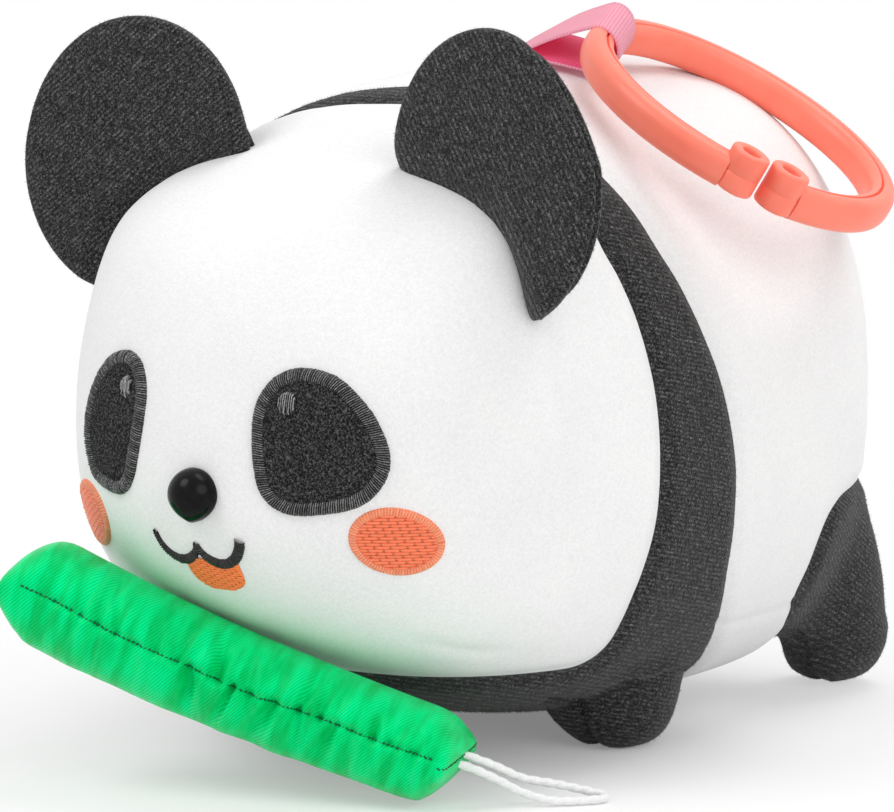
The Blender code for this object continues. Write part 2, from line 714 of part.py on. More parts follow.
def make_bamboo():
    place = bamboo_matrix()
    foot_cut = BAMBOO_LENGTH * (1 - BAMBOO_END_SHARE)
    head_cut = BAMBOO_LENGTH * BAMBOO_END_SHARE
    gap = SEAM_GAP / 2
    forward = Vector((1, 0, 0))
    pieces = (
        ("bamboo_wrap", ((foot_cut + gap, -forward), (head_cut - gap, forward))),
        ("bamboo_end_right", ((foot_cut - gap, forward),)),
        ("bamboo_end_left", ((head_cut + gap, -forward),)),
    )
    for name, cuts in pieces:
        bm = bamboo_bmesh(0)
        for spot, normal in cuts:
            trim(bm, Vector((spot, 0, 0)), normal)
        bmesh.ops.recalc_face_normals(bm, faces=bm.faces)
        mesh = bpy.data.meshes.new(name)
        bm.to_mesh(mesh)
        bm.free()
        piece = add_object(name, mesh, "green_satin")
        piece.matrix_local = place
        solidify(piece, SATIN, -1)
    stuffing = add_bmesh("bamboo_stuffing", bamboo_bmesh(SATIN + STUFFING_GAP), "fibre_fill")
    stuffing.matrix_local = place


def make_cord():
    """A loop of cord: out of the stalk's foot end, over the floor and back into it."""
    place = bamboo_matrix()
    foot = Vector((place.translation.x, place.translation.y, 0))
    route = [foot + Vector(point) * MM for point in CORD_LOOP]
    start = place @ Vector((-CORD_EXIT_GAP, CORD_PITCH / 2, -CORD_EXIT_DROP))
    finish = place @ Vector((-CORD_EXIT_GAP, -CORD_PITCH / 2, -CORD_EXIT_DROP))
    route = [start] + route + [finish]
    ends = [route[0] * 2 - route[1]] + route + [route[-1] * 2 - route[-2]]
    points = []
    for index in range(1, len(ends) - 2):
        for step in range(CORD_STEPS):
            points.append(spline_point(*ends[index - 1:index + 3], step / CORD_STEPS))
    points.append(finish)
    tube("bamboo_loop", points, CORD_RADIUS, "white_cord")


def centre_origin():
    """Move the toy so that the origin is the bottom centre of its box, cord left out."""
    bpy.context.view_layer.update()
    graph = bpy.context.evaluated_depsgraph_get()
    points = []
    for obj in PARTS.objects:
        if obj.type == "MESH":
            shown = obj.evaluated_get(graph)
            points += [shown.matrix_world @ vert.co for vert in shown.data.vertices]
    for axis in (0, 1):
        values = [point[axis] for point in points]
        ROOT.location[axis] = -(min(values) + max(values)) / 2


clear_scene()
PARTS = new_collection("plush_panda")
CUTTERS = new_collection("cutters")
ROOT = bpy.data.objects.new("panda_frame", None)
PARTS.objects.link(ROOT)
MATERIALS = {name: new_material(name, *look) for name, look in (
    ("white_plush", ((0.86, 0.86, 0.85), 0.95)),
    ("black_plush", ((0.045, 0.045, 0.048), 0.95)),
    ("black_felt", ((0.05, 0.05, 0.052), 0.95)),
    ("black_thread", ((0.03, 0.03, 0.032), 0.5)),
    ("grey_thread", ((0.25, 0.25, 0.26), 0.5)),
    ("orange_thread", ((0.95, 0.22, 0.09), 0.5)),
    ("black_gloss", ((0.012, 0.012, 0.012), 0.15)),
    ("clear_plastic", ((0.8, 0.8, 0.78), 0.3)),
    ("fibre_fill", ((0.9, 0.9, 0.9), 1.0)),
    ("pink_ribbon", ((0.9, 0.35, 0.52), 0.6)),
    ("coral_plastic", ((0.95, 0.16, 0.10), 0.4)),
    ("green_satin", ((0.0, 0.42, 0.09), 0.35)),
    ("white_cord", ((0.88, 0.88, 0.87), 0.7)),
)}

LOAF_CUTTER = as_cutter(add_bmesh("loaf_cutter", loaf_bmesh(-FIT_GAP)))
EAR_CUTTER = as_cutter(add_bmesh("ear_cutter", loaf_bmesh(-EAR_GAP)))
STUFFING = add_bmesh("body_stuffing", loaf_bmesh(CLOTH + STUFFING_GAP), "fibre_fill")
SKIN = make_skin()
make_legs(LOAF_CUTTER)
make_ears(EAR_CUTTER)
make_eyes_and_cheeks()
make_nose(SKIN["face_panel"], STUFFING)
make_mouth()
make_ribbon(SKIN["rump_panel"], STUFFING)
make_ring()
make_bamboo()
make_cord()
centre_origin()
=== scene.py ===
"""Looks of the plush panda: brushed plush, embroidery, a plastic ring on a ribbon and a satin bamboo stalk.

Metres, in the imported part's frame. The toy faces -Y, its left flank is +X and it stands on z = 0.
Pieces are shaped in the toy's own frame, with x = 0 on its middle, and moved into place at the end.
"""

from math import atan2, copysign, cos, exp, pi, radians, sin, sqrt, tau

import bmesh
import bpy
import numpy as np
from mathutils import Matrix, Vector, noise
from mathutils.bvhtree import BVHTree


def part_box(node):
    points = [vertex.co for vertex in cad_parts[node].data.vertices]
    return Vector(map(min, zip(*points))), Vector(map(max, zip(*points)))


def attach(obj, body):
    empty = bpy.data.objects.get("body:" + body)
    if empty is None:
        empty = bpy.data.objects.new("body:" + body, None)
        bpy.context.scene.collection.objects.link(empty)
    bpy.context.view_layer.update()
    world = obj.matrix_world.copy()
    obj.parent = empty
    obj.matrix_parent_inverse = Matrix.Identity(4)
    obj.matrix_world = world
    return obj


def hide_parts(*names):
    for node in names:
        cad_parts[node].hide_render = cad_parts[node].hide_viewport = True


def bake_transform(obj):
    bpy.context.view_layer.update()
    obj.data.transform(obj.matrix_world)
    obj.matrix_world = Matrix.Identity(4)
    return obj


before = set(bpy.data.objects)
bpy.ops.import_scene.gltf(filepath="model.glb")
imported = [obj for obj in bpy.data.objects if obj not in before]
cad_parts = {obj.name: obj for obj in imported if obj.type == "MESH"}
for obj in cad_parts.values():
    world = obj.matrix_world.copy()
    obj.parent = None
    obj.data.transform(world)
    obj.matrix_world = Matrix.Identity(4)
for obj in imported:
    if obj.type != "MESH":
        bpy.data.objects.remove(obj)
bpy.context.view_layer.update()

MM = 0.001
RANDOM = np.random.default_rng(7)
SIDES = (("left", 1), ("right", -1))

# Stuffed loaf: head and body in one
HALF_WIDTH = 63 * MM
FRONT_REACH = 129 * MM
REAR_REACH = 46 * MM
WIDEST_Y = 42 * MM
CROWN_RISE = 67.5 * MM
BELLY_DROP = 63.2 * MM
MID_Z = 67 * MM
FRONT_POWER = 3.1
REAR_POWER = 2.0
SIDE_POWER = 2.35
BELLY_POWER = 2.65
MUZZLE_RISE = 4.5 * MM
MUZZLE_HALF_WIDTH = 22 * MM
MUZZLE_HALF_HEIGHT = 18 * MM
MUZZLE_Z = 54 * MM
TEMPLE = Vector((40, -56, 104.5)) * MM
TEMPLE_OUTWARD = Vector((0.62, -0.35, 0.70))
TEMPLE_RISE = 3.8 * MM
TEMPLE_SPREAD = 16 * MM

# Where the toy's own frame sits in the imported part
RUMP_LOW, RUMP_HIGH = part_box("rump_panel")
PLACE = Vector(((RUMP_LOW.x + RUMP_HIGH.x) / 2, RUMP_HIGH.y - WIDEST_Y - REAR_REACH, 0))

# Camera
AZIMUTH = radians(34.7)
ELEVATION = radians(8.5)
DISTANCE = 983.5 * MM
AIM = Vector((0, -7.85, 66.5)) * MM
FOCAL_PIXELS = 4917
FRAME_WIDTH = 894


def place_camera():
    right = Vector((cos(AZIMUTH), sin(AZIMUTH), 0))
    back = Vector((sin(AZIMUTH) * cos(ELEVATION), -cos(AZIMUTH) * cos(ELEVATION), sin(ELEVATION)))
    camera = bpy.data.cameras.new("camera")
    camera.sensor_width = 36
    camera.lens = FOCAL_PIXELS * camera.sensor_width / FRAME_WIDTH
    camera.clip_end = 20
    holder = bpy.data.objects.new("camera", camera)
    bpy.context.scene.collection.objects.link(holder)
    turn = Matrix((right, back.cross(right), back)).transposed().to_4x4()
    holder.matrix_world = Matrix.Translation(AIM + PLACE + back * DISTANCE) @ turn
    bpy.context.scene.camera = holder


# Mesh helpers

def add_piece(name, bm, materials, body, nodes=(), smooth=True):
    """Turn a finished shape into a piece that rides on a body and stands for some CAD nodes."""
    mesh = bpy.data.meshes.new(name)
    bm.to_mesh(mesh)
    bm.free()
    mesh.transform(Matrix.Translation(PLACE))
    if smooth:
        mesh.shade_smooth()
    for material in materials:
        mesh.materials.append(material)
    piece = bpy.data.objects.new(name, mesh)
    bpy.context.scene.collection.objects.link(piece)
    if body:
        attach(piece, body)
    if nodes:
        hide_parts(*nodes)
    return piece


def smooth_step(value, low, high):
    share = np.clip((value - low) / (high - low), 0, 1)
    return share * share * (3 - 2 * share)


def curve_value(knots, at):
    """Smooth curve through (place, value) knots, read at an array of places."""
    place, value = np.array(knots, float).T
    slope = np.gradient(value, place)
    at = np.clip(at, place[0], place[-1])
    index = np.clip(np.searchsorted(place, at) - 1, 0, len(place) - 2)
    span = place[index + 1] - place[index]
    share = (at - place[index]) / span
    rise = share * share * (3 - 2 * share)
    lean = slope[index] * (share - 2 * share ** 2 + share ** 3) + slope[index + 1] * (share ** 3 - share ** 2)
    return value[index] * (1 - rise) + value[index + 1] * rise + lean * span


def spline_point(p0, p1, p2, p3, share):
    rise = share * share * (3 - 2 * share)
    lean = (p2 - p0) / 2 * (share - 2 * share ** 2 + share ** 3) + (p3 - p1) / 2 * (share ** 3 - share ** 2)
    return p1 * (1 - rise) + p2 * rise + lean


def smooth_line(points, steps, closed=False):
    """Smooth curve through points, with some steps between each two."""
    points = [Vector(point) for point in points]
    if closed:
        ends = [points[-1]] + points + points[:2]
    else:
        ends = [points[0] * 2 - points[1]] + points + [points[-1] * 2 - points[-2]]
    line = []
    for index in range(1, len(ends) - 2):
        for step in range(steps):
            line.append(spline_point(*ends[index - 1:index + 3], step / steps))
    if not closed:
        line.append(points[-1])
    return line


def even_line(line, pitch, closed=False):
    """The same line with points at an even pitch."""
    if closed:
        line = line + [line[0]]
    lengths = [0.0]
    for first, second in zip(line, line[1:]):
        lengths.append(lengths[-1] + (second - first).length)
    count = max(int(round(lengths[-1] / pitch)), 2)
    spots = np.linspace(0, lengths[-1], count + 1)
    axes = [np.interp(spots, lengths, [point[k] for point in line]) for k in range(len(line[0]))]
    even = [Vector(point) for point in zip(*axes)]
    return even[:-1] if closed else even


def points_of(verts):
    return np.array([vert.co for vert in verts], float).reshape(-1, 3)


def grid_faces(bm, rows, closed_rows=False, closed_lines=False):
    """Faces between rows of vertices of equal length."""
    pairs = list(zip(rows, rows[1:])) + ([(rows[-1], rows[0])] if closed_rows else [])
    for first, second in pairs:
        count = len(first)
        for k in range(count if closed_lines else count - 1):
            after = (k + 1) % count
            bm.faces.new((first[k], first[after], second[after], second[k]))


def noise_at(points, size, seed=0.0):
    """Smooth noise, about -1 to 1, at points, for lumps of some size."""
    shift = Vector((seed, seed * 1.7, -seed))
    return np.array([noise.noise(Vector(point) / size + shift) for point in points])


# Cord loop: its route from the stalk's foot end over the floor and back, as the CAD has it

CORD_RADIUS = 0.85 * MM
CORD_LAY = 2.6 * MM
CORD_SIDES = 14
CORD_STEPS = 10
CORD_LOOP = ((1.4, 1.2, 7.4), (4.6, 4.6, 5.0), (7.4, 7.4, 2.8), (12.0, 10.6, 1.2), (16.4, 15.0, 0.95),
             (18.6, 18.6, 0.95), (17.2, 20.0, 1.3), (14.4, 17.6, 2.3), (10.4, 14.0, 3.6), (6.0, 9.6, 5.0),
             (2.6, 4.6, 8.0))
BAMBOO_YAW = radians(202.2)
BAMBOO_PITCH = radians(20.6)
BAMBOO_FOOT = Vector((42.0, -61.84, 5.53)) * MM
STALK = (Matrix.Translation(BAMBOO_FOOT) @ Matrix.Rotation(BAMBOO_YAW, 4, "Z")
         @ Matrix.Rotation(-BAMBOO_PITCH, 4, "Y"))


def make_cord(material):
    """Two-ply twisted cord whose ends go into the stalk."""
    foot = Vector((BAMBOO_FOOT.x, BAMBOO_FOOT.y, 0))
    start = STALK @ (Vector((5.0, 1.0, 2.4)) * MM)
    finish = STALK @ (Vector((4.4, -1.0, 4.0)) * MM)
    route = [start] + [foot + Vector(point) * MM for point in CORD_LOOP] + [finish]
    line = even_line(smooth_line(route, CORD_STEPS), CORD_LAY / 12)
    bm = bmesh.new()
    rows = []
    run = 0.0
    for index, point in enumerate(line):
        before, after = line[max(index - 1, 0)], line[min(index + 1, len(line) - 1)]
        heading = (after - before).normalized()
        run += (point - before).length
        across = heading.cross(Vector((0, 0, 1))).normalized()
        up = across.cross(heading)
        twist = tau * run / (2 * CORD_LAY)
        row = []
        for side in range(CORD_SIDES):
            angle = tau * side / CORD_SIDES
            radius = CORD_RADIUS * (0.84 + 0.2 * abs(cos(angle - twist)))
            row.append(bm.verts.new(point + (across * cos(angle) + up * sin(angle)) * radius))
        rows.append(row)
    grid_faces(bm, rows, closed_lines=True)
    bm.faces.new(rows[0])
    bm.faces.new(list(reversed(rows[-1])))
    bmesh.ops.recalc_face_normals(bm, faces=bm.faces)
    cord = add_piece("bamboo_cord", bm, [material], "bamboo", ["bamboo_loop"])
    return cord


# Shader helpers and shared effects

class Net:
    """Short hand for adding and linking shader nodes."""

    def __init__(self, tree):
        self.tree = tree

    def add(self, kind, **settings):
        node = self.tree.nodes.new(kind)
        for key, value in settings.items():
            setattr(node, key, value)
        return node

    def link(self, source, target):
        self.tree.links.new(source, target)

    def feed(self, value, socket):
        if isinstance(value, bpy.types.NodeSocket):
            self.link(value, socket)
        else:
            socket.default_value = value

    def math(self, operation, first, second=0.0, clamp=False):
        node = self.add("ShaderNodeMath", operation=operation, use_clamp=clamp)
        self.feed(first, node.inputs[0])
        self.feed(second, node.inputs[1])
        return node.outputs[0]

    def noise(self, vector, scale, detail=2.0, roughness=0.5):
        node = self.add("ShaderNodeTexNoise")
        node.inputs["Scale"].default_value = scale
        node.inputs["Detail"].default_value = detail
        node.inputs["Roughness"].default_value = roughness
        self.link(vector, node.inputs["Vector"])
        return node.outputs["Fac"]

    def ramp(self, value, *stops):
        node = self.add("ShaderNodeValToRGB")
        while len(node.color_ramp.elements) < len(stops):
            node.color_ramp.elements.new(0.5)
        for element, (position, colour) in zip(node.color_ramp.elements, stops):
            element.position = position
            element.color = (*colour, 1)
        self.feed(value, node.inputs[0])
        return node.outputs["Color"]

    def mix(self, share, first, second, blend="MIX"):
        node = self.add("ShaderNodeMix", data_type="RGBA", blend_type=blend)
        self.feed(share, node.inputs["Factor"])
        self.feed(first, node.inputs["A"])
        self.feed(second, node.inputs["B"])
        return node.outputs["Result"]

    def span(self, value, low, high, to_low=0.0, to_high=1.0):
        node = self.add("ShaderNodeMapRange")
        for key, number in (("From Min", low), ("From Max", high), ("To Min", to_low), ("To Max", to_high)):
            node.inputs[key].default_value = number
        self.feed(value, node.inputs["Value"])
        return node.outputs["Result"]

    def bump(self, height, distance, strength=1.0, normal=None):
        node = self.add("ShaderNodeBump")
        node.inputs["Distance"].default_value = distance
        node.inputs["Strength"].default_value = strength
        self.link(height, node.inputs["Height"])
        if normal is not None:
            self.link(normal, node.inputs["Normal"])
        return node.outputs["Normal"]

    def place(self):
        return self.add("ShaderNodeTexCoord").outputs["Object"]


def new_effect(name, inputs, outputs):
    """An empty node group with named sockets."""
    tree = bpy.data.node_groups.new(name, "ShaderNodeTree")
    for socket, kind, value in inputs:
        made = tree.interface.new_socket(socket, in_out="INPUT", socket_type=kind)
        made.default_value = value
    for socket, kind in outputs:
        tree.interface.new_socket(socket, in_out="OUTPUT", socket_type=kind)
    net = Net(tree)
    return net, net.add("NodeGroupInput"), net.add("NodeGroupOutput")


def nap_effect():
    """Short brushed fibres: a height, and a painted light and shade that follows it, lighter on the fibre tips and
    darker at the roots.
    """
    net, given, made = new_effect("brushed_nap", [("Clump", "NodeSocketFloat", 0.5), ("Fibre", "NodeSocketFloat", 0.2)],
                                  [("Height", "NodeSocketFloat"), ("Painted_nap_shade", "NodeSocketFloat")])
    place = net.place()
    clump_scale = net.math("DIVIDE", 1000.0, given.outputs["Clump"])
    fibre_scale = net.math("DIVIDE", 1000.0, given.outputs["Fibre"])
    heights = []
    for scale, detail in ((clump_scale, 2.0), (fibre_scale, 1.0)):
        node = net.add("ShaderNodeTexNoise")
        node.inputs["Detail"].default_value = detail
        node.inputs["Roughness"].default_value = 0.6
        net.link(place, node.inputs["Vector"])
        net.link(scale, node.inputs["Scale"])
        heights.append(node.outputs["Fac"])
    height = net.math("ADD", net.math("MULTIPLY", heights[0], 0.45), net.math("MULTIPLY", heights[1], 0.55))
    net.link(height, made.inputs["Height"])
    # Painted light and shade: the nap's height, spread to 0..1, later sets how light the cloth colour is.
    net.link(net.span(height, 0.36, 0.64), made.inputs["Painted_nap_shade"])
    return net.tree


def knit_effect():
    """Fine knitted ribs that run square to a direction, broken up a little."""
    net, given, made = new_effect("knit_ribs", [("Direction", "NodeSocketVector", (1, 0, 0)),
                                                ("Pitch", "NodeSocketFloat", 0.85)], [("Rib", "NodeSocketFloat")])
    place = net.place()
    dot = net.add("ShaderNodeVectorMath", operation="DOT_PRODUCT")
    net.link(place, dot.inputs[0])
    net.link(given.outputs["Direction"], dot.inputs[1])
    turns = net.math("DIVIDE", net.math("MULTIPLY", dot.outputs["Value"], 1000 * tau), given.outputs["Pitch"])
    drift = net.math("MULTIPLY", net.noise(place, 160, 2.0), 5.0)
    wave = net.math("SINE", net.math("ADD", turns, drift))
    broken = net.span(net.noise(place, 900, 2.0), 0.35, 0.65)
    rib = net.math("MULTIPLY", net.math("ADD", net.math("MULTIPLY", wave, 0.5), 0.5), broken)
    net.link(rib, made.inputs["Rib"])
    return net.tree


def thread_effect():
    """Embroidery floss, read from a UV map that counts threads across and stitches along."""
    net, given, made = new_effect("floss", [("Streak", "NodeSocketFloat", 0.25)],
                                  [("Crest", "NodeSocketFloat"), ("Tone", "NodeSocketFloat"),
                                   ("Hole", "NodeSocketFloat")])
    coordinates = net.add("ShaderNodeTexCoord")
    split = net.add("ShaderNodeSeparateXYZ")
    net.link(coordinates.outputs["UV"], split.inputs[0])
    wave = net.math("COSINE", net.math("MULTIPLY", split.outputs["X"], tau))
    strand = net.add("ShaderNodeTexNoise")
    net.link(coordinates.outputs["Object"], strand.inputs["Vector"])
    net.link(net.math("DIVIDE", 1000.0, given.outputs["Streak"]), strand.inputs["Scale"])
    crest = net.math("ADD", net.math("MULTIPLY", wave, 0.36), net.span(strand.outputs["Fac"], 0.3, 0.7, 0.25, 0.75))
    net.link(crest, made.inputs["Crest"])
    thread = net.add("ShaderNodeTexWhiteNoise", noise_dimensions="1D")
    net.link(net.math("FLOOR", net.math("ADD", split.outputs["X"], 0.5)), thread.inputs["W"])
    net.link(thread.outputs["Value"], made.inputs["Tone"])
    phase = net.math("ABSOLUTE", net.math("SUBTRACT", net.math("FRACT", split.outputs["Y"]), 0.5))
    net.link(net.span(phase, 0.03, 0.12, 1.0, 0.0), made.inputs["Hole"])
    return net.tree


EFFECTS = {"nap": nap_effect(), "knit": knit_effect(), "floss": thread_effect()}


def use_effect(net, name, **values):
    node = net.add("ShaderNodeGroup", node_tree=EFFECTS[name])
    for socket, value in values.items():
        node.inputs[socket].default_value = value
    return node.outputs


def new_finish(name, **sockets):
    """A material with its Principled shader's uniform values set."""
    material = bpy.data.materials.new(name)
    material.use_nodes = True
    net = Net(material.node_tree)
    shader = material.node_tree.nodes["Principled BSDF"]
    for socket, value in sockets.items():
        shader.inputs[socket.replace("_", " ").title().replace("Ior", "IOR")].default_value = value
    return material, net, shader


def white_plush():
    material, net, shader = new_finish("white_plush", roughness=0.95, sheen_weight=0.25, sheen_roughness=0.5)
    nap = use_effect(net, "nap", Clump=0.7, Fibre=0.25)
    patches = net.noise(net.place(), 60, 3.0)
    # Painted shade: the white is darker where the nap is low and lighter on its raised fibres.
    cloth = net.ramp(nap["Painted_nap_shade"], (0.0, (0.80, 0.80, 0.80)), (1.0, (0.90, 0.90, 0.895)))
    tone = net.ramp(patches, (0.3, (0.965, 0.965, 0.97)), (0.7, (1.0, 1.0, 1.0)))
    net.link(net.mix(1.0, cloth, tone, "MULTIPLY"), shader.inputs["Base Color"])
    net.link(net.bump(nap["Height"], 0.16 * MM, 0.7), shader.inputs["Normal"])
    return material


def black_plush(name, ribs_square_to, pitch=0.85):
    material, net, shader = new_finish(name, roughness=0.9, specular_ior_level=0.1, sheen_weight=0.18, sheen_roughness=0.45)
    nap = use_effect(net, "nap", Clump=0.55, Fibre=0.3)
    rib = use_effect(net, "knit", Direction=ribs_square_to, Pitch=pitch)["Rib"]
    # Painted light and shade: the black is darker where the nap is low and lighter on its raised fibres.
    cloth = net.ramp(nap["Painted_nap_shade"], (0.0, (0.008, 0.008, 0.008)), (0.5, (0.062, 0.062, 0.062)),
                     (1.0, (0.24, 0.24, 0.24)))
    # Painted shade: the colour darkens in the valleys between the knit ribs.
    painted_rib_shade = net.ramp(rib, (0.0, (0.30, 0.30, 0.30)), (1.0, (1.0, 1.0, 1.0)))
    net.link(net.mix(1.0, cloth, painted_rib_shade, "MULTIPLY"), shader.inputs["Base Color"])
    height = net.math("ADD", nap["Height"], net.math("MULTIPLY", rib, 0.7))
    net.link(net.bump(height, 0.30 * MM, 0.9), shader.inputs["Normal"])
    return material


def nap_fibres():
    material, net, shader = new_finish("black_nap", roughness=0.8, specular_ior_level=0.1)
    tone = net.noise(net.place(), 1500, 1.0)
    net.link(net.ramp(tone, (0.35, (0.006, 0.006, 0.006)), (0.6, (0.080, 0.080, 0.080)),
                      (0.72, (0.320, 0.320, 0.320))), shader.inputs["Base Color"])
    return material


def black_felt():
    material, net, shader = new_finish("black_felt", roughness=0.95, specular_ior_level=0.1)
    nap = use_effect(net, "nap", Clump=0.5, Fibre=0.3)
    # Painted light and shade: the felt is darker where the nap is low and lighter on its raised fibres.
    net.link(net.ramp(nap["Painted_nap_shade"], (0.0, (0.003, 0.003, 0.003)), (0.5, (0.020, 0.020, 0.020)),
                      (1.0, (0.10, 0.10, 0.10))), shader.inputs["Base Color"])
    net.link(net.bump(nap["Height"], 0.25 * MM, 0.8), shader.inputs["Normal"])
    return material


def floss(name, dark, light, faded=0.55, pricked=0.5, streak=0.25, lit_from=0.1, gloss=0.3):
    """Thread, its colour painted lighter on each thread's crest and darker between threads (painted highlight and
    shade); faded is how dark its darkest strands are beside the lightest, pricked how dark the painted shade in its
    needle holes is.
    """
    material, net, shader = new_finish(name, roughness=0.36, specular_ior_level=gloss)
    thread = use_effect(net, "floss", Streak=streak)
    # Painted highlight and shade: light on each thread's crest, dark between threads.
    painted_crest_shading = net.ramp(thread["Crest"], (lit_from, dark), (0.9, light))
    toned = net.mix(1.0, painted_crest_shading, net.ramp(thread["Tone"], (0.0, (faded,) * 3), (1.0, (1.0,) * 3)), "MULTIPLY")
    # Painted shade: the needle holes are darkened.
    holes = net.ramp(thread["Hole"], (0.0, (1.0,) * 3), (1.0, (pricked,) * 3))
    net.link(net.mix(1.0, toned, holes, "MULTIPLY"), shader.inputs["Base Color"])
    net.link(net.bump(thread["Crest"], 0.12 * MM, 0.7), shader.inputs["Normal"])
    return material


def glossy_nose():
    material, net, shader = new_finish("black_gloss", specular_ior_level=0.11)
    scuff = net.noise(net.place(), 700, 3.0)
    net.link(net.ramp(scuff, (0.3, (0.003, 0.003, 0.003)), (0.7, (0.006, 0.006, 0.006))), shader.inputs["Base Color"])
    net.link(net.span(scuff, 0.3, 0.7, 0.16, 0.22), shader.inputs["Roughness"])
    return material


def coral_plastic():
    material, net, shader = new_finish("coral_plastic", roughness=0.35, subsurface_weight=0.15, specular_ior_level=0.35)
    shader.inputs["Subsurface Radius"].default_value = (0.004, 0.001, 0.0006)
    shader.inputs["Subsurface Scale"].default_value = 0.4
    place = net.place()
    cloud = net.noise(place, 90, 3.0)
    grain = net.noise(place, 2600, 2.0)
    net.link(net.ramp(cloud, (0.3, (0.97, 0.205, 0.135)), (0.7, (1.0, 0.25, 0.17))), shader.inputs["Base Color"])
    net.link(net.span(cloud, 0.3, 0.7, 0.33, 0.42), shader.inputs["Roughness"])
    net.link(net.bump(grain, 0.02 * MM, 0.5), shader.inputs["Normal"])
    return material


def ribbon_cloth(name, shade, light):
    """Ribbed ribbon: fine ribs across its width, read along its length from the UV map."""
    material, net, shader = new_finish(name, roughness=0.5, sheen_weight=0.3)
    coordinates = net.add("ShaderNodeTexCoord")
    split = net.add("ShaderNodeSeparateXYZ")
    net.link(coordinates.outputs["UV"], split.inputs[0])
    wave = net.math("SINE", net.math("MULTIPLY", split.outputs["Y"], tau * RIBBON_RIBS))
    rib = net.math("ADD", net.math("MULTIPLY", wave, 0.5), 0.5)
    weave = net.noise(coordinates.outputs["Object"], 2200, 2.0)
    rough = net.math("ADD", net.math("MULTIPLY", rib, 0.8), net.math("MULTIPLY", weave, 0.2))
    net.link(net.ramp(rough, (0.0, shade), (0.75, light)), shader.inputs["Base Color"])
    net.link(net.bump(rough, 0.16 * MM, 0.8), shader.inputs["Normal"])
    through = net.add("ShaderNodeBsdfTranslucent")
    through.inputs["Color"].default_value = (*light, 1)
    thin = net.add("ShaderNodeMixShader")
    thin.inputs["Fac"].default_value = 0.4
    net.link(shader.outputs[0], thin.inputs[1])
    net.link(through.outputs[0], thin.inputs[2])
    net.link(thin.outputs[0], material.node_tree.nodes["Material Output"].inputs["Surface"])
    return material


def green_satin():
    """Satin: fine slanting twill lines and a tinted gloss along the folds, with painted shade in the creases and twill
    valleys and painted sheen on the folds.
    """
    material, net, shader = new_finish("green_satin", roughness=0.4, specular_ior_level=0.4, specular_tint=(0.05, 1.0, 0.4, 1))
    coordinates = net.add("ShaderNodeTexCoord")
    split = net.add("ShaderNodeSeparateXYZ")
    net.link(coordinates.outputs["UV"], split.inputs[0])
    drift = net.math("MULTIPLY", net.noise(coordinates.outputs["Object"], 120, 2.0), 3.0)
    run = net.math("ADD", net.math("MULTIPLY", split.outputs["X"], tau * 1000 / TWILL_PITCH),
                   net.math("MULTIPLY", split.outputs["Y"], tau * 1000 / TWILL_PITCH * 0.55))
    twill = net.math("ADD", net.math("MULTIPLY", net.math("SINE", net.math("ADD", run, drift)), 0.5), 0.5)
    stretch = net.add("ShaderNodeVectorMath", operation="MULTIPLY")
    net.link(coordinates.outputs["UV"], stretch.inputs[0])
    stretch.inputs[1].default_value = (1.0, 0.22, 1.0)
    # Painted shade and sheen: the base colour is darker in the creases and lighter on the folds.
    creases = net.span(net.noise(stretch.outputs[0], 340, 2.0), 0.35, 0.65)
    cloth = net.ramp(creases, (0.0, (0.0, 0.60, 0.135)), (0.6, (0.0, 0.80, 0.225)), (1.0, (0.0, 0.88, 0.28)))
    # Painted shade: the colour darkens in the twill valleys.
    lines = net.ramp(twill, (0.0, (0.70, 0.70, 0.70)), (1.0, (1.0, 1.0, 1.0)))
    net.link(net.mix(1.0, cloth, lines, "MULTIPLY"), shader.inputs["Base Color"])
    net.link(net.span(twill, 0.0, 1.0, 0.46, 0.34), shader.inputs["Roughness"])
    height = net.math("ADD", net.math("MULTIPLY", twill, 0.1), creases)
    net.link(net.bump(height, 0.5 * MM, 0.6), shader.inputs["Normal"])
    return material


def white_cord():
    material, net, shader = new_finish("white_cord", roughness=0.6, sheen_weight=0.2)
    strand = net.noise(net.place(), 3000, 2.0)
    net.link(net.ramp(strand, (0.3, (0.78, 0.78, 0.78)), (0.7, (0.90, 0.90, 0.90))), shader.inputs["Base Color"])
    net.link(net.bump(strand, 0.06 * MM, 0.7), shader.inputs["Normal"])
    return material


def clear_plastic():
    material, net, shader = new_finish("clear_plastic", roughness=0.3)
    cloud = net.noise(net.place(), 400, 2.0)
    net.link(net.ramp(cloud, (0.3, (0.72, 0.72, 0.70)), (0.7, (0.80, 0.80, 0.78))), shader.inputs["Base Color"])
    return material


# Stuffed covers: joined shapes, an even net, swelled by cloth simulation and cut along the seams

NET = 3.0 * MM
SHRINK = 0.1 * MM
SWELL_FRAMES = 20
SWELL_PRESSURE = 4.0
SWELL_LIMIT = 1.5 * MM
SEAM_HOLD = 2.2 * MM


def work_object(bm):
    mesh = bpy.data.meshes.new("work")
    bm.to_mesh(mesh)
    bm.free()
    obj = bpy.data.objects.new("work", mesh)
    bpy.context.scene.collection.objects.link(obj)
    return obj


def settle(obj):
    """Apply all of an object's modifiers."""
    graph = bpy.context.evaluated_depsgraph_get()
    mesh = bpy.data.meshes.new_from_object(obj.evaluated_get(graph))
    obj.modifiers.clear()
    obj.data = mesh


def even_net(obj, voxel, easing):
    remesh = obj.modifiers.new("Even net", "REMESH")
    remesh.mode = "VOXEL"
    remesh.voxel_size = voxel
    ease = obj.modifiers.new("Ease", "SMOOTH")
    ease.factor = 0.5
    ease.iterations = easing
    settle(obj)


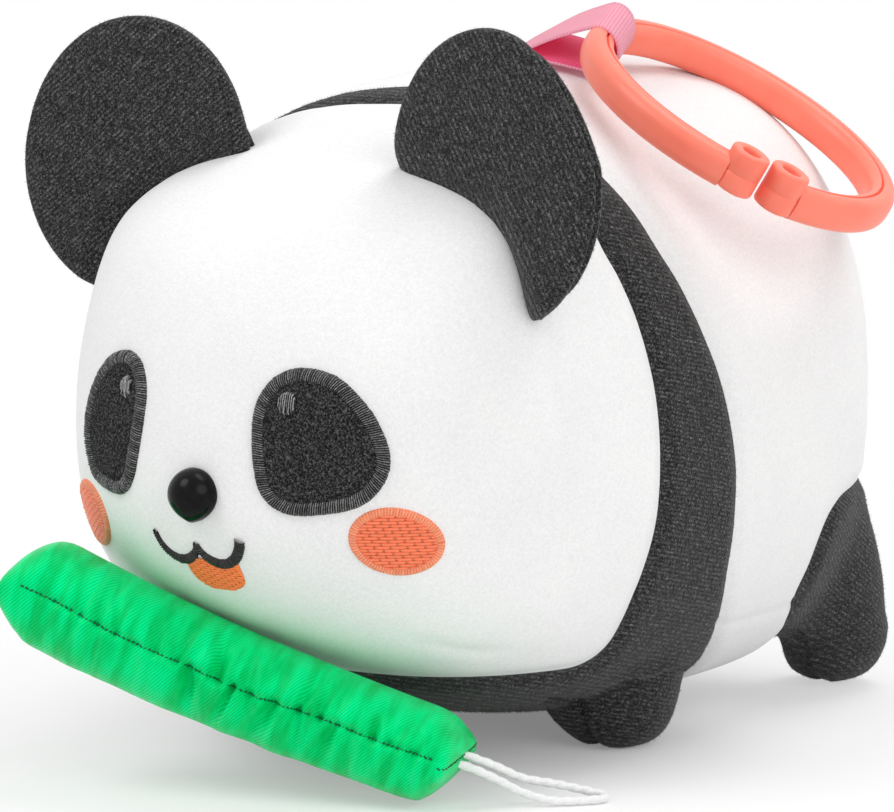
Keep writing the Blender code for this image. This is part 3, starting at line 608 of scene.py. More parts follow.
def swell(obj, held, limit):
    """Fill a cover by cloth simulation, held along its seams, with a cap on how far a point moves."""
    group = obj.vertex_groups.new(name="seams")
    for index in np.flatnonzero(held):
        group.add([int(index)], 1.0, "REPLACE")
    before = points_of(obj.data.vertices)
    cloth = obj.modifiers.new("Stuffing", "CLOTH")
    cloth.settings.use_pressure = True
    cloth.settings.uniform_pressure_force = SWELL_PRESSURE
    cloth.settings.vertex_group_mass = group.name
    cloth.settings.effector_weights.gravity = 0
    cloth.point_cache.frame_start = 1
    cloth.point_cache.frame_end = SWELL_FRAMES
    for step in range(1, SWELL_FRAMES + 1):
        bpy.context.scene.frame_set(step)
    settle(obj)
    bpy.context.scene.frame_set(1)
    move = points_of(obj.data.vertices) - before
    length = np.linalg.norm(move, axis=1)
    share = limit * np.tanh(length / limit) / np.maximum(length, 1e-9)
    obj.data.vertices.foreach_set("co", (before + move * share[:, None]).ravel())
    print("swelled", len(before), "points, most", round(length.max() / MM, 2), "mm")


def finer(obj, levels):
    subdivision = obj.modifiers.new("Finer", "SUBSURF")
    subdivision.levels = subdivision.render_levels = levels
    settle(obj)


def take_bmesh(obj):
    bm = bmesh.new()
    bm.from_mesh(obj.data)
    bpy.data.objects.remove(obj)
    return bm


def cut_along(bm, field):
    """Split the faces where a field over the surface is zero."""
    rest = bm.verts.layers.float_vector.new("rest")
    for vert, value in zip(bm.verts, field(points_of(bm.verts))):
        vert[rest] = vert.co
        vert.co.x = value
    bmesh.ops.bisect_plane(bm, geom=bm.verts[:] + bm.edges[:] + bm.faces[:], plane_co=(0, 0, 0), plane_no=(1, 0, 0),
                           dist=1e-6)
    for vert in bm.verts:
        vert.co = vert[rest]
    bm.verts.layers.float_vector.remove(rest)


def press_seam(bm, distance, depth, width):
    """Pull the cloth in along a seam, from each point's distance to it."""
    bm.normal_update()
    for vert, away, pull in zip(bm.verts, distance, np.broadcast_to(depth, len(distance))):
        vert.co -= vert.normal * float(pull) * exp(-(away / width) ** 2)


def taken_out(bm, wanted):
    """A copy of the mesh with only the wanted faces."""
    piece = bm.copy()
    bmesh.ops.delete(piece, geom=[face for face, want in zip(piece.faces, wanted) if not want], context="FACES")
    return piece


def loaf_point(direction):
    """Surface point of the stuffed loaf for a direction on the unit ball."""
    reach, power = (FRONT_REACH, FRONT_POWER) if direction.y < 0 else (REAR_REACH, REAR_POWER)
    rise, roundness = CROWN_RISE, SIDE_POWER
    if direction.z < 0:
        rise = BELLY_DROP
        roundness += (BELLY_POWER - SIDE_POWER) * float(smooth_step(direction.y, -0.85, -0.35))
    plan = (abs(direction.x) ** power + abs(direction.y) ** power) ** (roundness / power)
    scale = (plan + abs(direction.z) ** roundness) ** (-1 / roundness)
    x = direction.x * scale * HALF_WIDTH
    y = direction.y * scale * reach + WIDEST_Y
    z = direction.z * scale * rise + MID_Z
    if y < WIDEST_Y:
        y -= MUZZLE_RISE * exp(-(x / MUZZLE_HALF_WIDTH) ** 2 - ((z - MUZZLE_Z) / MUZZLE_HALF_HEIGHT) ** 2)
    from_temple = (Vector((abs(x), y, z)) - TEMPLE).length
    bulge = TEMPLE_OUTWARD * TEMPLE_RISE * exp(-(from_temple / TEMPLE_SPREAD) ** 2)
    return Vector((x + copysign(bulge.x, x), y + bulge.y, z + bulge.z))


def loaf_tree():
    """The loaf's plain surface, for finding places on it."""
    form = ball(128, 84, loaf_point)
    tree = BVHTree.FromBMesh(form)
    form.free()
    return tree


FRONT_LEG = {"foot": (33.2, 3.2), "radius": 14.1, "height": 34.0, "taper": 0.25, "lean": (0.10, -0.12), "power": 8.0,
             "thigh": 0.0}
HIND_LEG = {"foot": (37.5, 80.6), "radius": 10.0, "height": 49.0, "taper": -0.50, "lean": (0.32, -0.38), "power": 2.7,
            "thigh": 0.9}
THIGH_SPREAD = (8, 24)
LEG_CREASE = (12.4, 14.2)


def leg_point(leg, side, direction):
    """Point of a stuffed stub on a flat foot, swelling along a leaning axis."""
    around = sqrt(direction.x ** 2 + direction.y ** 2)
    scale = (around ** leg["power"] + abs(direction.z) ** leg["power"]) ** (-1 / leg["power"])
    rise = direction.z * scale
    girth = leg["radius"] * scale * (1 + leg["taper"] * rise)
    z = max((leg["height"] + 0.5) / 2 * (1 + rise) - 0.5, 0)
    forward = 1 + leg["thigh"] * float(smooth_step(z, *THIGH_SPREAD)) if direction.y < 0 else 1
    x = leg["foot"][0] + direction.x * girth + leg["lean"][0] * z
    y = leg["foot"][1] + direction.y * girth * forward + leg["lean"][1] * z
    return Vector((side * x, y, z)) * MM


def ball(segments, rings, shape):
    """A ball of vertices, each moved by a shape function of its direction."""
    bm = bmesh.new()
    bmesh.ops.create_uvsphere(bm, u_segments=segments, v_segments=rings, radius=1)
    for vert in bm.verts:
        vert.co = shape(vert.co.copy())
    bmesh.ops.recalc_face_normals(bm, faces=bm.faces)
    return bm


def join(bm, other):
    """Add another shape to a mesh."""
    mesh = bpy.data.meshes.new("joined")
    other.to_mesh(mesh)
    other.free()
    bm.from_mesh(mesh)
    bpy.data.meshes.remove(mesh)


# Seams of the body, by the angle round the loaf from its crown, in degrees and millimetres of y
BAND_FRONT = ((0, -20.4), (18, -22.0), (38, -24.0), (54, -28.9), (60, -27.6), (73, -24.8), (89, -22.2), (105, -22.0),
              (121, -24.2), (133, -23.7), (145, -23.0), (180, -23.0))
BAND_REAR = ((0, -7), (20, -11.5), (41, -17.2), (49, -15.6), (57, -13.8), (64, -10.7), (72, -7.1), (80, -3.1),
             (88, 0.2), (97, 2.9), (107, 4.2), (118, 6.0), (130, 12.0), (138, 17.0), (148, 21.0), (180, 21.0))
CHEST_SEAM_Z = 20.6 * MM
CHEST_CORNER = 7 * MM
THIGH_BACK = 89.0
THIGH_UNDERCUT = ((0, 66), (4, 63), (12, 54), (26, 39), (34, 38.5), (60, 38.5))
THIGH_RISE = (20.0, 27.5)
THIGH_POWER = 5.0
THIGH_EASING = 30
THIGH_INNER = ((0, 21), (20, 22), (34, 27), (47, 38))
HEAD_SEAM = ((30, -56), (45, -53), (56, -50.8), (72, -50.6), (85, -49.5), (95, -48.2), (107, -46.4), (118, -45))


def angle_round(points):
    return np.degrees(np.arctan2(np.abs(points[:, 0]), points[:, 2] - MID_Z))


def soft_max(first, second, corner):
    """The larger of two fields, rounded where they meet."""
    gap = np.maximum(corner - np.abs(first - second), 0) / corner
    return np.maximum(first, second) + corner * gap * gap / 4


def face_field(points):
    """Below zero on the white of the head."""
    behind = points[:, 1] - curve_value(BAND_FRONT, angle_round(points)) * MM
    under = CHEST_SEAM_Z - points[:, 2]
    return soft_max(behind, under, CHEST_CORNER)


def rear_field(points):
    """Above zero behind the shoulder band."""
    return points[:, 1] - curve_value(BAND_REAR, angle_round(points)) * MM


def thigh_field(points):
    """Below zero on the black of the hind legs."""
    front = curve_value(THIGH_UNDERCUT, points[:, 2] / MM)
    half = (THIGH_BACK - front) / 2
    along = np.abs(points[:, 1] / MM - front - half) / half
    up = np.maximum(points[:, 2] / MM - THIGH_RISE[0], 0) / THIGH_RISE[1]
    outline = ((along ** THIGH_POWER + up ** THIGH_POWER) ** (1 / THIGH_POWER) - 1) * half * MM
    inner = curve_value(THIGH_INNER, points[:, 2] / MM) * MM - np.abs(points[:, 0])
    return soft_max(outline, inner, 6 * MM)


def head_seam_field(points):
    return points[:, 1] - curve_value(HEAD_SEAM, angle_round(points)) * MM


def make_body(white, shoulder_black, thigh_black):
    """Head, shoulder band with the front legs, rump and thighs, sewn from one stuffed form."""
    bm = ball(128, 84, loaf_point)
    bm.normal_update()
    for vert in bm.verts:
        vert.co -= vert.normal * SHRINK
    for leg in (FRONT_LEG, HIND_LEG):
        for word, side in SIDES:
            join(bm, ball(48, 32, lambda direction: leg_point(leg, side, direction)))
    form = work_object(bm)
    even_net(form, NET, 6)
    points = points_of(form.data.vertices)
    seams = np.minimum.reduce([np.abs(face_field(points)), np.abs(rear_field(points)), np.abs(thigh_field(points))])
    swell(form, (seams < SEAM_HOLD) | (points[:, 2] < 4 * MM), SWELL_LIMIT)
    finer(form, 1)
    bm = take_bmesh(form)
    smooth_thighs(bm)
    crease_legs(bm)

    for field in (face_field, rear_field, thigh_field):
        cut_along(bm, field)
    middles = np.array([face.calc_center_median() for face in bm.faces])
    on_face, on_rear, on_thigh = face_field(middles) < 0, rear_field(middles) > 0, thigh_field(middles) < 0
    points = points_of(bm.verts)
    press_seam(bm, face_field(points), 1.3 * MM, 1.9 * MM)
    thigh = thigh_field(points)
    rear = rear_field(points)
    press_seam(bm, rear, 1.3 * MM, 1.9 * MM)
    press_seam(bm, thigh, np.where(rear > 0, 1.1 * MM, 0), 1.9 * MM)
    press_body_darts(bm, points)
    for vert in bm.verts:
        vert.co.z = max(vert.co.z, 0.15 * MM)

    head = taken_out(bm, on_face & ~on_rear)
    shoulders = taken_out(bm, ~on_face & ~on_rear)
    rump = taken_out(bm, on_rear & ~on_thigh)
    pieces = {"head": add_piece("head_cover", head, [white], "panda", ["face_panel", "neck_panel"])}
    pieces["shoulders"] = add_piece("shoulder_cover", shoulders, [shoulder_black], "panda",
                                    ["shoulder_band", "chest_panel", "front_leg_left", "front_leg_right"])
    pieces["rump"] = add_piece("rump_cover", rump, [white], "panda", ["rump_panel", "belly_panel", "body_stuffing"])
    for word, side in SIDES:
        thigh = taken_out(bm, on_rear & on_thigh & (middles[:, 0] * side > 0))
        pieces["thigh_" + word] = add_piece("hind_leg_cover_" + word, thigh, [thigh_black], "panda",
                                            ["hind_leg_" + word])
    bm.free()
    return pieces


def smooth_thighs(bm):
    """Ease the hollow where the hind legs leave the flanks."""
    hollow = [vert for vert in bm.verts if 44 * MM < vert.co.y < 84 * MM and 14 * MM < vert.co.z < 58 * MM]
    for _ in range(THIGH_EASING):
        bmesh.ops.smooth_vert(bm, verts=hollow, factor=0.5, use_axis_x=True, use_axis_y=True, use_axis_z=True)


def crease_legs(bm):
    """Lift the belly beside the front legs back to the loaf, so that they leave it at a crease."""
    loaf = loaf_tree()
    for vert in bm.verts:
        x, y, z = vert.co / MM
        if z < 16 and y < 25:
            leg_x = FRONT_LEG["foot"][0] + FRONT_LEG["lean"][0] * z
            leg_y = FRONT_LEG["foot"][1] + FRONT_LEG["lean"][1] * z
            beside = float(smooth_step(sqrt((abs(x) - leg_x) ** 2 + (y - leg_y) ** 2), *LEG_CREASE))
            place, _, _, _ = loaf.ray_cast(Vector((vert.co.x, vert.co.y, -0.1)), Vector((0, 0, 1)))
            if place is not None and place.z > vert.co.z:
                vert.co.z += (place.z - vert.co.z) * beside


def press_body_darts(bm, points):
    """Faint seams that don't change colour: head side, chin dart, flank, and the fronts of the legs."""
    x, y, z = points.T / MM
    side = smooth_step(z, 38, 50) * smooth_step(-z, -104, -92)
    press_seam(bm, head_seam_field(points), 0.45 * MM * side, 1.0 * MM)
    dart = np.abs((np.abs(x) - 34.3) * 0.86 - (y + 62.3) * 0.52)
    dart_share = smooth_step(-z, -35, -28) * smooth_step(-y, 46, 52)
    press_seam(bm, dart * MM, 0.55 * MM * dart_share, 1.0 * MM)
    flank = smooth_step(y, 6, 14) * smooth_step(-y, -48, -40)
    press_seam(bm, (z - 24.2) * MM, 0.4 * MM * flank, 0.9 * MM)
    leg_x = FRONT_LEG["foot"][0] + FRONT_LEG["lean"][0] * z
    on_leg = smooth_step(-z, -24, -19) * (y < 4) * (y > -24)
    press_seam(bm, (np.abs(x) - leg_x) * MM, 1.7 * MM * on_leg, 1.0 * MM)
    hind_x = HIND_LEG["foot"][0] + HIND_LEG["lean"][0] * z
    on_hind = smooth_step(-z, -18, -12) * (y < 82) * (y > 45)
    press_seam(bm, (np.abs(x) - hind_x) * MM, 1.1 * MM * on_hind, 1.0 * MM)


# Ears

EAR_MIDDLE = {"left": Vector((42.3, -53.5, 118.6)) * MM, "right": Vector((-44.9, -50.6, 117.4)) * MM}
EAR_HALF = Vector((24.9, 6.5, 28.0)) * MM
EAR_FRONT = 4.4 * MM
EAR_CUP = 2.8 * MM
EAR_FULLNESS = 0.75
EAR_OUTER = {"left": (-0.15, 0.0), "right": (0.0, 0.03)}
EAR_TURN = radians(7)
EAR_ROLL = {1: radians(9), -1: radians(12.5)}
EAR_AROUND = 112
EAR_ROWS = 48
EAR_SEAM_BACK = (2.5 * MM, 0.6 * MM)
EAR_TUCK = 3.0 * MM
EAR_TUCK_RISE = 9.0 * MM
EAR_SUNK = 3.6 * MM


def ear_turn(side):
    return Matrix.Rotation(-EAR_TURN * side, 3, "Z") @ Matrix.Rotation(-EAR_ROLL[side] * side, 3, "Y")


def ear_point(word, side, turn, around):
    """Point of a cupped ear: turn goes from the middle of its front to that of its back, around follows the rim."""
    rim = cos(turn)
    across, up = rim * cos(around), rim * sin(around)
    depth = EAR_HALF.y if turn > 0 else EAR_FRONT
    wide = 1.0
    if across * side > 0:
        top, bottom = EAR_OUTER[word]
        wide += top * max(up, 0) ** 0.7 + bottom * max(-up, 0) ** 0.7
    swelling = copysign(abs(sin(turn)) ** EAR_FULLNESS, turn) * depth
    local = Vector((across * EAR_HALF.x * wide, swelling + EAR_CUP * (1 - rim * rim), up * EAR_HALF.z))
    return EAR_MIDDLE[word] + ear_turn(side) @ local


def ear_net(word, side):
    """The ear's net, in rows that follow its rim."""
    bm = bmesh.new()
    rows = []
    for row in range(1, EAR_ROWS):
        turn = pi * row / EAR_ROWS - pi / 2
        rows.append([bm.verts.new(ear_point(word, side, turn, tau * k / EAR_AROUND)) for k in range(EAR_AROUND)])
    grid_faces(bm, rows, closed_lines=True)
    for row, turn in ((rows[0], -pi / 2), (rows[-1], pi / 2)):
        middle = bm.verts.new(ear_point(word, side, turn, 0))
        for k in range(EAR_AROUND):
            bm.faces.new((row[k], row[(k + 1) % EAR_AROUND], middle))
    bmesh.ops.recalc_face_normals(bm, faces=bm.faces)
    return bm


def ear_frame(points, word, side):
    """Points seen from the ear: outward across it, towards the back, and up, from its middle."""
    local = (points - np.array(EAR_MIDDLE[word])) @ np.array(ear_turn(side))
    return local * (side, 1, 1)


def from_ear_seam(local):
    """Distance behind the rim's seam, which comes forward on the ear's outer side."""
    inner, outer = EAR_SEAM_BACK
    return local[:, 1] - inner - (outer - inner) * smooth_step(local[:, 0] / EAR_HALF.x, 0.3, 0.75)


def tuck_ear(bm, word, side, away, loaf):
    """Draw the front of the ear back where it nears the head, so that it ends in a rolled base."""
    backward = ear_frame(points_of(bm.verts), word, side)[:, 1]
    for vert, depth in zip(bm.verts, backward):
        place, normal, _, height = loaf.ray_cast(vert.co, -away)
        if place is not None:
            height = height if normal.dot(away) > 0 else 0.0
            share = max(1 - height / EAR_TUCK_RISE, 0) ** 2
            vert.co.y += EAR_TUCK * share * (1 - float(smooth_step(depth, 0, 7 * MM)))


def seat_ear(bm, away, loaf):
    """Bring what lies deep inside the head up to just under its cloth; tells which points lie inside."""
    inside = []
    for vert in bm.verts:
        place, normal, _, depth = loaf.ray_cast(vert.co, away)
        inside.append(place is not None and normal.dot(away) > 0)
        if inside[-1] and depth > EAR_SUNK:
            vert.co = place - away * EAR_SUNK
    return np.array(inside)


def make_ears(blacks, nap_finish):
    """Stuffed ears with a rolled base, and a seam round the rim."""
    loaf = loaf_tree()
    for word, side in SIDES:
        away = Vector((side * 0.632, 0, 0.776))
        bm = ear_net(word, side)
        tuck_ear(bm, word, side, away, loaf)
        inside = seat_ear(bm, away, loaf)
        local = ear_frame(points_of(bm.verts), word, side)
        rim = np.sqrt((local[:, 0] / EAR_HALF.x) ** 2 + (local[:, 2] / EAR_HALF.z) ** 2)
        seam = (np.abs(from_ear_seam(local)) < 0.6 * MM) & (rim > 0.8)
        form = work_object(bm)
        swell(form, inside | seam, 1.2 * MM)
        finer(form, 1)
        bm = take_bmesh(form)
        local = ear_frame(points_of(bm.verts), word, side)
        rim = np.sqrt((local[:, 0] / EAR_HALF.x) ** 2 + (local[:, 2] / EAR_HALF.z) ** 2)
        press_seam(bm, from_ear_seam(local), 1.3 * MM * smooth_step(rim, 0.74, 0.86), 0.55 * MM)
        ear = add_piece("ear_cover_" + word, bm, [blacks[word]], None, ["ear_" + word])
        nap = make_nap("ear_nap_" + word, ear, nap_finish, None)
        for piece in (ear, nap):
            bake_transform(piece)


# Nap: loose fibres that stand out of the black cloth

NAP_DENSITY = 3.2
NAP_LENGTH = 0.75 * MM
NAP_WIDTH = 0.07 * MM


def make_nap(name, cover, material, body):
    """Short tapering fibres scattered over a cover, lying mostly along the cloth."""
    mesh = cover.data
    draw = np.random.default_rng(11)
    mesh.calc_loop_triangles()
    corners = np.array([triangle.vertices for triangle in mesh.loop_triangles])
    points = points_of(mesh.vertices) - np.array(PLACE)
    first, second, third = (points[corners[:, k]] for k in range(3))
    normals = np.cross(second - first, third - first)
    areas = np.linalg.norm(normals, axis=1) / 2
    count = int(areas.sum() / MM ** 2 * NAP_DENSITY)
    chosen = draw.choice(len(areas), count, p=areas / areas.sum())
    share = np.sort(draw.uniform(0, 1, (count, 2)), axis=1)
    roots = (first[chosen] * share[:, :1] + second[chosen] * (share[:, 1:] - share[:, :1])
             + third[chosen] * (1 - share[:, 1:]))
    up = normals[chosen] / (2 * areas[chosen, None])
    lie = draw.normal(0, 1, (count, 3))
    lie -= up * (lie * up).sum(axis=1, keepdims=True)
    lie /= np.linalg.norm(lie, axis=1, keepdims=True)
    across = np.cross(up, lie) * NAP_WIDTH / 2
    lift = draw.uniform(0.25, 0.75, (count, 1))
    tips = roots + (up * lift + lie * (1 - lift)) * NAP_LENGTH * draw.uniform(0.5, 1.2, (count, 1))
    vertices = np.concatenate([roots - across, roots + across, tips])
    index = np.arange(count)
    faces = np.stack([index, index + count, index + 2 * count], axis=1)
    fibres = bpy.data.meshes.new(name)
    fibres.from_pydata(vertices.tolist(), [], faces.tolist())
    bm = bmesh.new()
    bm.from_mesh(fibres)
    bpy.data.meshes.remove(fibres)
    return add_piece(name, bm, [material], body, smooth=False)


# Face: embroidery laid on the head cover

class FaceCloth:
    """Finds the head cover's surface, to lay stitches on it."""

    def __init__(self, head):
        mesh = head.data
        points = [vert.co - PLACE for vert in mesh.vertices]
        faces = [tuple(face.vertices) for face in mesh.polygons]
        self.tree = BVHTree.FromPolygons(points, faces)

    def spot(self, x, z):
        """Point and normal of the cloth in front of a place on the face."""
        place, normal, _, _ = self.tree.ray_cast(Vector((x, -0.2, z)), Vector((0, 1, 0)))
        return place, normal

    def lifted(self, point, lift):
        """The nearest place on the cloth, raised by a lift."""
        place, normal, _, _ = self.tree.find_nearest(point)
        return place + normal * lift

    def line(self, outline):
        return [self.spot(x, z)[0] for x, z in outline]


def satin_band(bm, cloth, line, half_width, height, pitch, closed, slant=0.25, ends=(1.0, 1.0)):
    """A raised band of stitches that lie across a line on the cloth, narrowed at its ends."""
    line = even_line(line, pitch / 2, closed)
    count = len(line)
    rows = []
    counts = {}
    for index, point in enumerate(line):
        if closed:
            before, after = line[index - 1], line[(index + 1) % count]
        else:
            before, after = line[max(index - 1, 0)], line[min(index + 1, count - 1)]
        _, normal, _, _ = cloth.tree.find_nearest(point)
        heading = (after - before).normalized()
        across = normal.cross(heading).normalized()
        crest = index % 2
        run = index / (count - 1)
        narrowing = (1 - (1 - ends[0]) * (1 - float(smooth_step(run, 0, 0.35)))
                     - (1 - ends[1]) * float(smooth_step(run, 0.4, 1)))
        reach = half_width * narrowing * (1 + 0.05 * RANDOM.uniform(-1, 1)) * (1.0 if crest else 0.97)
        rise = height * (1.0 if crest else 0.74) * (1 + 0.07 * RANDOM.uniform(-1, 1))
        lean = slant * half_width * RANDOM.uniform(0.6, 1.2)
        row = []
        for step in range(9):
            share = -1 + step / 4
            arch = max(1 - abs(share) ** 2.4, 0) ** 0.6
            place = point + across * reach * share + heading * lean * share
            vert = bm.verts.new(cloth.lifted(place, rise * arch - 0.1 * MM))
            counts[vert] = ((index - 1) / 2, 0.0)
            row.append(vert)
        rows.append(row)
    grid_faces(bm, rows, closed_rows=closed)
    count_threads(bm, counts)


def count_threads(bm, counts):
    """UV map that holds each vertex's thread number and stitch phase."""
    uv = bm.loops.layers.uv.get("threads") or bm.loops.layers.uv.new("threads")
    for face in bm.faces:
        for loop in face.loops:
            if loop.vert in counts:
                loop[uv].uv = counts[loop.vert]


def stitch_fill(bm, cloth, outline, pitch, stitch, lift, slant=0.35, upright=False):
    """Rows of running stitches that fill an outline on the cloth, with needle holes between stitches."""
    order = (1, 0) if upright else (0, 1)
    along = [point[order[0]] for point in outline]
    over = [point[order[1]] for point in outline]
    low, high = min(over), max(over)
    count = max(int((high - low) / pitch), 2)
    counts = {}
    columns = max(int((max(along) - min(along)) / (0.3 * MM)), 6)
    for thread in range(count):
        rows = []
        for part, height in ((0.0, 0.62), (0.5, 1.0), (1.0, 0.62)):
            level = low + (high - low) * (0.02 + 0.96 * (thread + part) / count)
            left, right = span_at(along, over, level)
            row = []
            for step in range(columns + 1):
                run = left + (right - left) * step / columns
                phase = run / stitch + slant * thread + 0.5 * (thread % 2)
                hole = exp(-((phase % 1.0 - 0.5) / 0.08) ** 2)
                edge = min(step, columns - step, 2) / 2
                rise = lift * (height - 0.3 * hole) * (0.3 + 0.7 * edge) * (1 + 0.06 * RANDOM.uniform(-1, 1))
                x, z = (level, run) if upright else (run, level)
                place, normal = cloth.spot(x, z)
                vert = bm.verts.new(place + normal * rise)
                counts[vert] = (thread + part - 0.5, phase)
                row.append(vert)
            rows.append(row)
        grid_faces(bm, rows)
    count_threads(bm, counts)


def span_at(along, over, level):
    """Where a level line enters and leaves a closed outline."""
    crossings = []
    for index in range(len(along)):
        after = (index + 1) % len(along)
        first, second = over[index], over[after]
        if (first - level) * (second - level) <= 0 and first != second:
            share = (level - first) / (second - first)
            crossings.append(along[index] + (along[after] - along[index]) * share)
    return min(crossings), max(crossings)


def filled_patch(bm, cloth, outline, lift, rings):
    """A thin patch on the cloth, drawn in by rings towards its middle."""
    middle = sum(outline, Vector((0, 0))) / len(outline)
    rows = []
    for ring in range(rings):
        share = 1 - ring / rings
        raised = lift if ring else 0
        row = []
        for point in outline:
            place, normal = cloth.spot(*(middle + (point - middle) * share))
            row.append(bm.verts.new(place + normal * raised))
        rows.append(row)
    for first, second in zip(rows, rows[1:]):
        for k in range(len(first)):
            after = (k + 1) % len(first)
            bm.faces.new((first[k], first[after], second[after], second[k]))
    place, normal = cloth.spot(*middle)
    centre = bm.verts.new(place + normal * lift)
    for k in range(len(rows[-1])):
        bm.faces.new((rows[-1][k], rows[-1][(k + 1) % len(rows[-1])], centre))


def finish_stitches(bm):
    """Faces turned towards the front."""
    bmesh.ops.recalc_face_normals(bm, faces=bm.faces)
    bm.normal_update()
    if sum(face.normal.y * face.calc_area() for face in bm.faces) > 0:
        bmesh.ops.reverse_faces(bm, faces=bm.faces)


EYE_CENTRE = Vector((24.0, 71.0))
EYE_OUTLINE = ((-4.2, 13.7), (-0.3, 13.3), (4.0, 11.5), (8.6, 7.0), (11.3, 2.5), (12.7, -2.2), (12.3, -6.4),
               (9.5, -10.6), (5.0, -12.7), (-2.7, -13.8), (-6.9, -13.0), (-9.7, -10.6), (-11.0, -7.4), (-12.2, -1.6),
               (-12.7, 4.4), (-12.0, 8.2), (-9.9, 11.4), (-7.2, 13.1))
EYE_BAND = 1.45 * MM
EYE_BAND_RISE = 1.25 * MM
SPARK_CENTRE = Vector((18.0, 78.0))
SPARK_HALF = (1.75, 2.3)
CHEEK_CENTRE = {"left": Vector((36.0, 52.6)), "right": Vector((34.4, 51.4))}
CHEEK_HALF = (7.0, 6.6)
FAR_EYE_NARROWING = 0.72


def oval(centre, half, count):
    return [Vector((centre.x + half[0] * cos(tau * k / count), centre.y + half[1] * sin(tau * k / count)))
            for k in range(count)]


def mirrored(points, side):
    return [Vector((point.x * side, point.y)) * MM for point in points]


def make_eyes(cloth, felt, thread, spark_thread):
    for word, side in SIDES:
        wide = 1.0 if side > 0 else FAR_EYE_NARROWING
        rim = [EYE_CENTRE + Vector((x * wide, z)) for x, z in smooth_line(EYE_OUTLINE, 8, closed=True)]
        middle = sum(rim, Vector((0, 0))) / len(rim)
        inner = [middle + (point - middle) * 0.86 for point in rim]
        bm = bmesh.new()
        filled_patch(bm, cloth, mirrored(inner, side), 0.55 * MM, 12)
        finish_stitches(bm)
        add_piece("eye_felt_" + word, bm, [felt], "panda", ["eye_patch_" + word])
        bm = bmesh.new()
        line = cloth.line(mirrored([middle + (point - middle) * 0.895 for point in rim], side))
        satin_band(bm, cloth, line, EYE_BAND, EYE_BAND_RISE, 0.44 * MM, True)
        finish_stitches(bm)
        add_piece("eye_stitching_" + word, bm, [thread], "panda", ["eye_border_" + word])
        spark = [Vector((EYE_CENTRE.x + (point.x - EYE_CENTRE.x) * wide, point.y))
                 for point in oval(SPARK_CENTRE, SPARK_HALF, 24)]
        bm = bmesh.new()
        stitch_fill(bm, cloth, mirrored(spark, side), 0.4 * MM, 9 * MM, 1.3 * MM, slant=0.0, upright=True)
        finish_stitches(bm)
        add_piece("eye_spark_" + word, bm, [spark_thread], "panda", ["eye_highlight_" + word])


def make_cheeks(cloth, thread, painted_sheen_thread):
    for word, side in SIDES:
        centre = CHEEK_CENTRE[word]
        outline = mirrored(oval(centre, CHEEK_HALF, 64), side)
        inner = mirrored(oval(centre, (CHEEK_HALF[0] - 1.0, CHEEK_HALF[1] - 1.0), 64), side)
        bm = bmesh.new()
        stitch_fill(bm, cloth, inner, 0.6 * MM, 2.4 * MM, 0.62 * MM, slant=0.04)
        for face in bm.faces:
            face.material_index = 0
        rim = bmesh.new()
        middle = mirrored(oval(centre, (CHEEK_HALF[0] - 0.75, CHEEK_HALF[1] - 0.75), 64), side)
        satin_band(rim, cloth, cloth.line(middle), 0.95 * MM, 0.75 * MM, 0.55 * MM, True, slant=0.1)
        finish_stitches(bm)
        finish_stitches(rim)
        # Painted sheen: the satin rim takes a lighter copy of the orange thread.
        for face in rim.faces:
            face.material_index = 1
        join(bm, rim)
        add_piece("cheek_stitching_" + word, bm, [thread, painted_sheen_thread], "panda", ["cheek_" + word])


NOSE_Z = 60 * MM
NOSE_HALF = 5.1 * MM
NOSE_DEPTH = 5.2 * MM
MOUTH_MIDDLE = Vector((-1.3, 0.0)) * MM
MOUTH_PEAK_Z = 50.4
MOUTH_LOBE = (4.6, 46.6)
MOUTH_END = (10.0, 51.8)
TONGUE_HALF_WIDTH = 6.3
TONGUE_MIDDLE = Vector((0.7, 0.0)) * MM
TONGUE_BOTTOM = 40.8


def make_nose(cloth, gloss):
    """Moulded nose: a dome that narrows to its lower edge, its rim sunk a little into the cloth."""
    place, _ = cloth.spot(0, NOSE_Z)
    bm = bmesh.new()
    rows = []
    for ring in range(22):
        turn = (pi / 2 + 0.25) * (ring + 0.6) / 21.6
        row = []
        for step in range(64):
            angle = tau * step / 64
            taper = 1 - 0.10 * max(-sin(angle), 0) ** 1.5 * abs(cos(angle)) ** 0.5 + 0.05 * max(-sin(angle), 0) ** 6
            radius = NOSE_HALF * sin(min(turn, pi / 2)) * taper * (1 - 0.08 * max(turn - pi / 2, 0) / 0.25)
            depth = NOSE_DEPTH * cos(turn)
            row.append(bm.verts.new(place + Vector((radius * cos(angle), -depth - 0.2 * MM, radius * sin(angle)))))
        rows.append(row)
    grid_faces(bm, rows, closed_lines=True)
    bm.faces.new(rows[0])
    bm.faces.new(list(reversed(rows[-1])))
    bmesh.ops.recalc_face_normals(bm, faces=bm.faces)
    add_piece("nose_button", bm, [gloss], "panda", ["nose"])


def mouth_height(across):
    """Height of the mouth line at a distance from the middle, in millimetres."""
    across = abs(across)
    share, top = 1 - across / MOUTH_LOBE[0], MOUTH_PEAK_Z
    if across > MOUTH_LOBE[0]:
        share, top = (across - MOUTH_LOBE[0]) / (MOUTH_END[0] - MOUTH_LOBE[0]), MOUTH_END[1]
    return MOUTH_LOBE[1] + (top - MOUTH_LOBE[1]) * (1 - sqrt(1 - 0.96 * min(share, 1) ** 2)) / 0.8


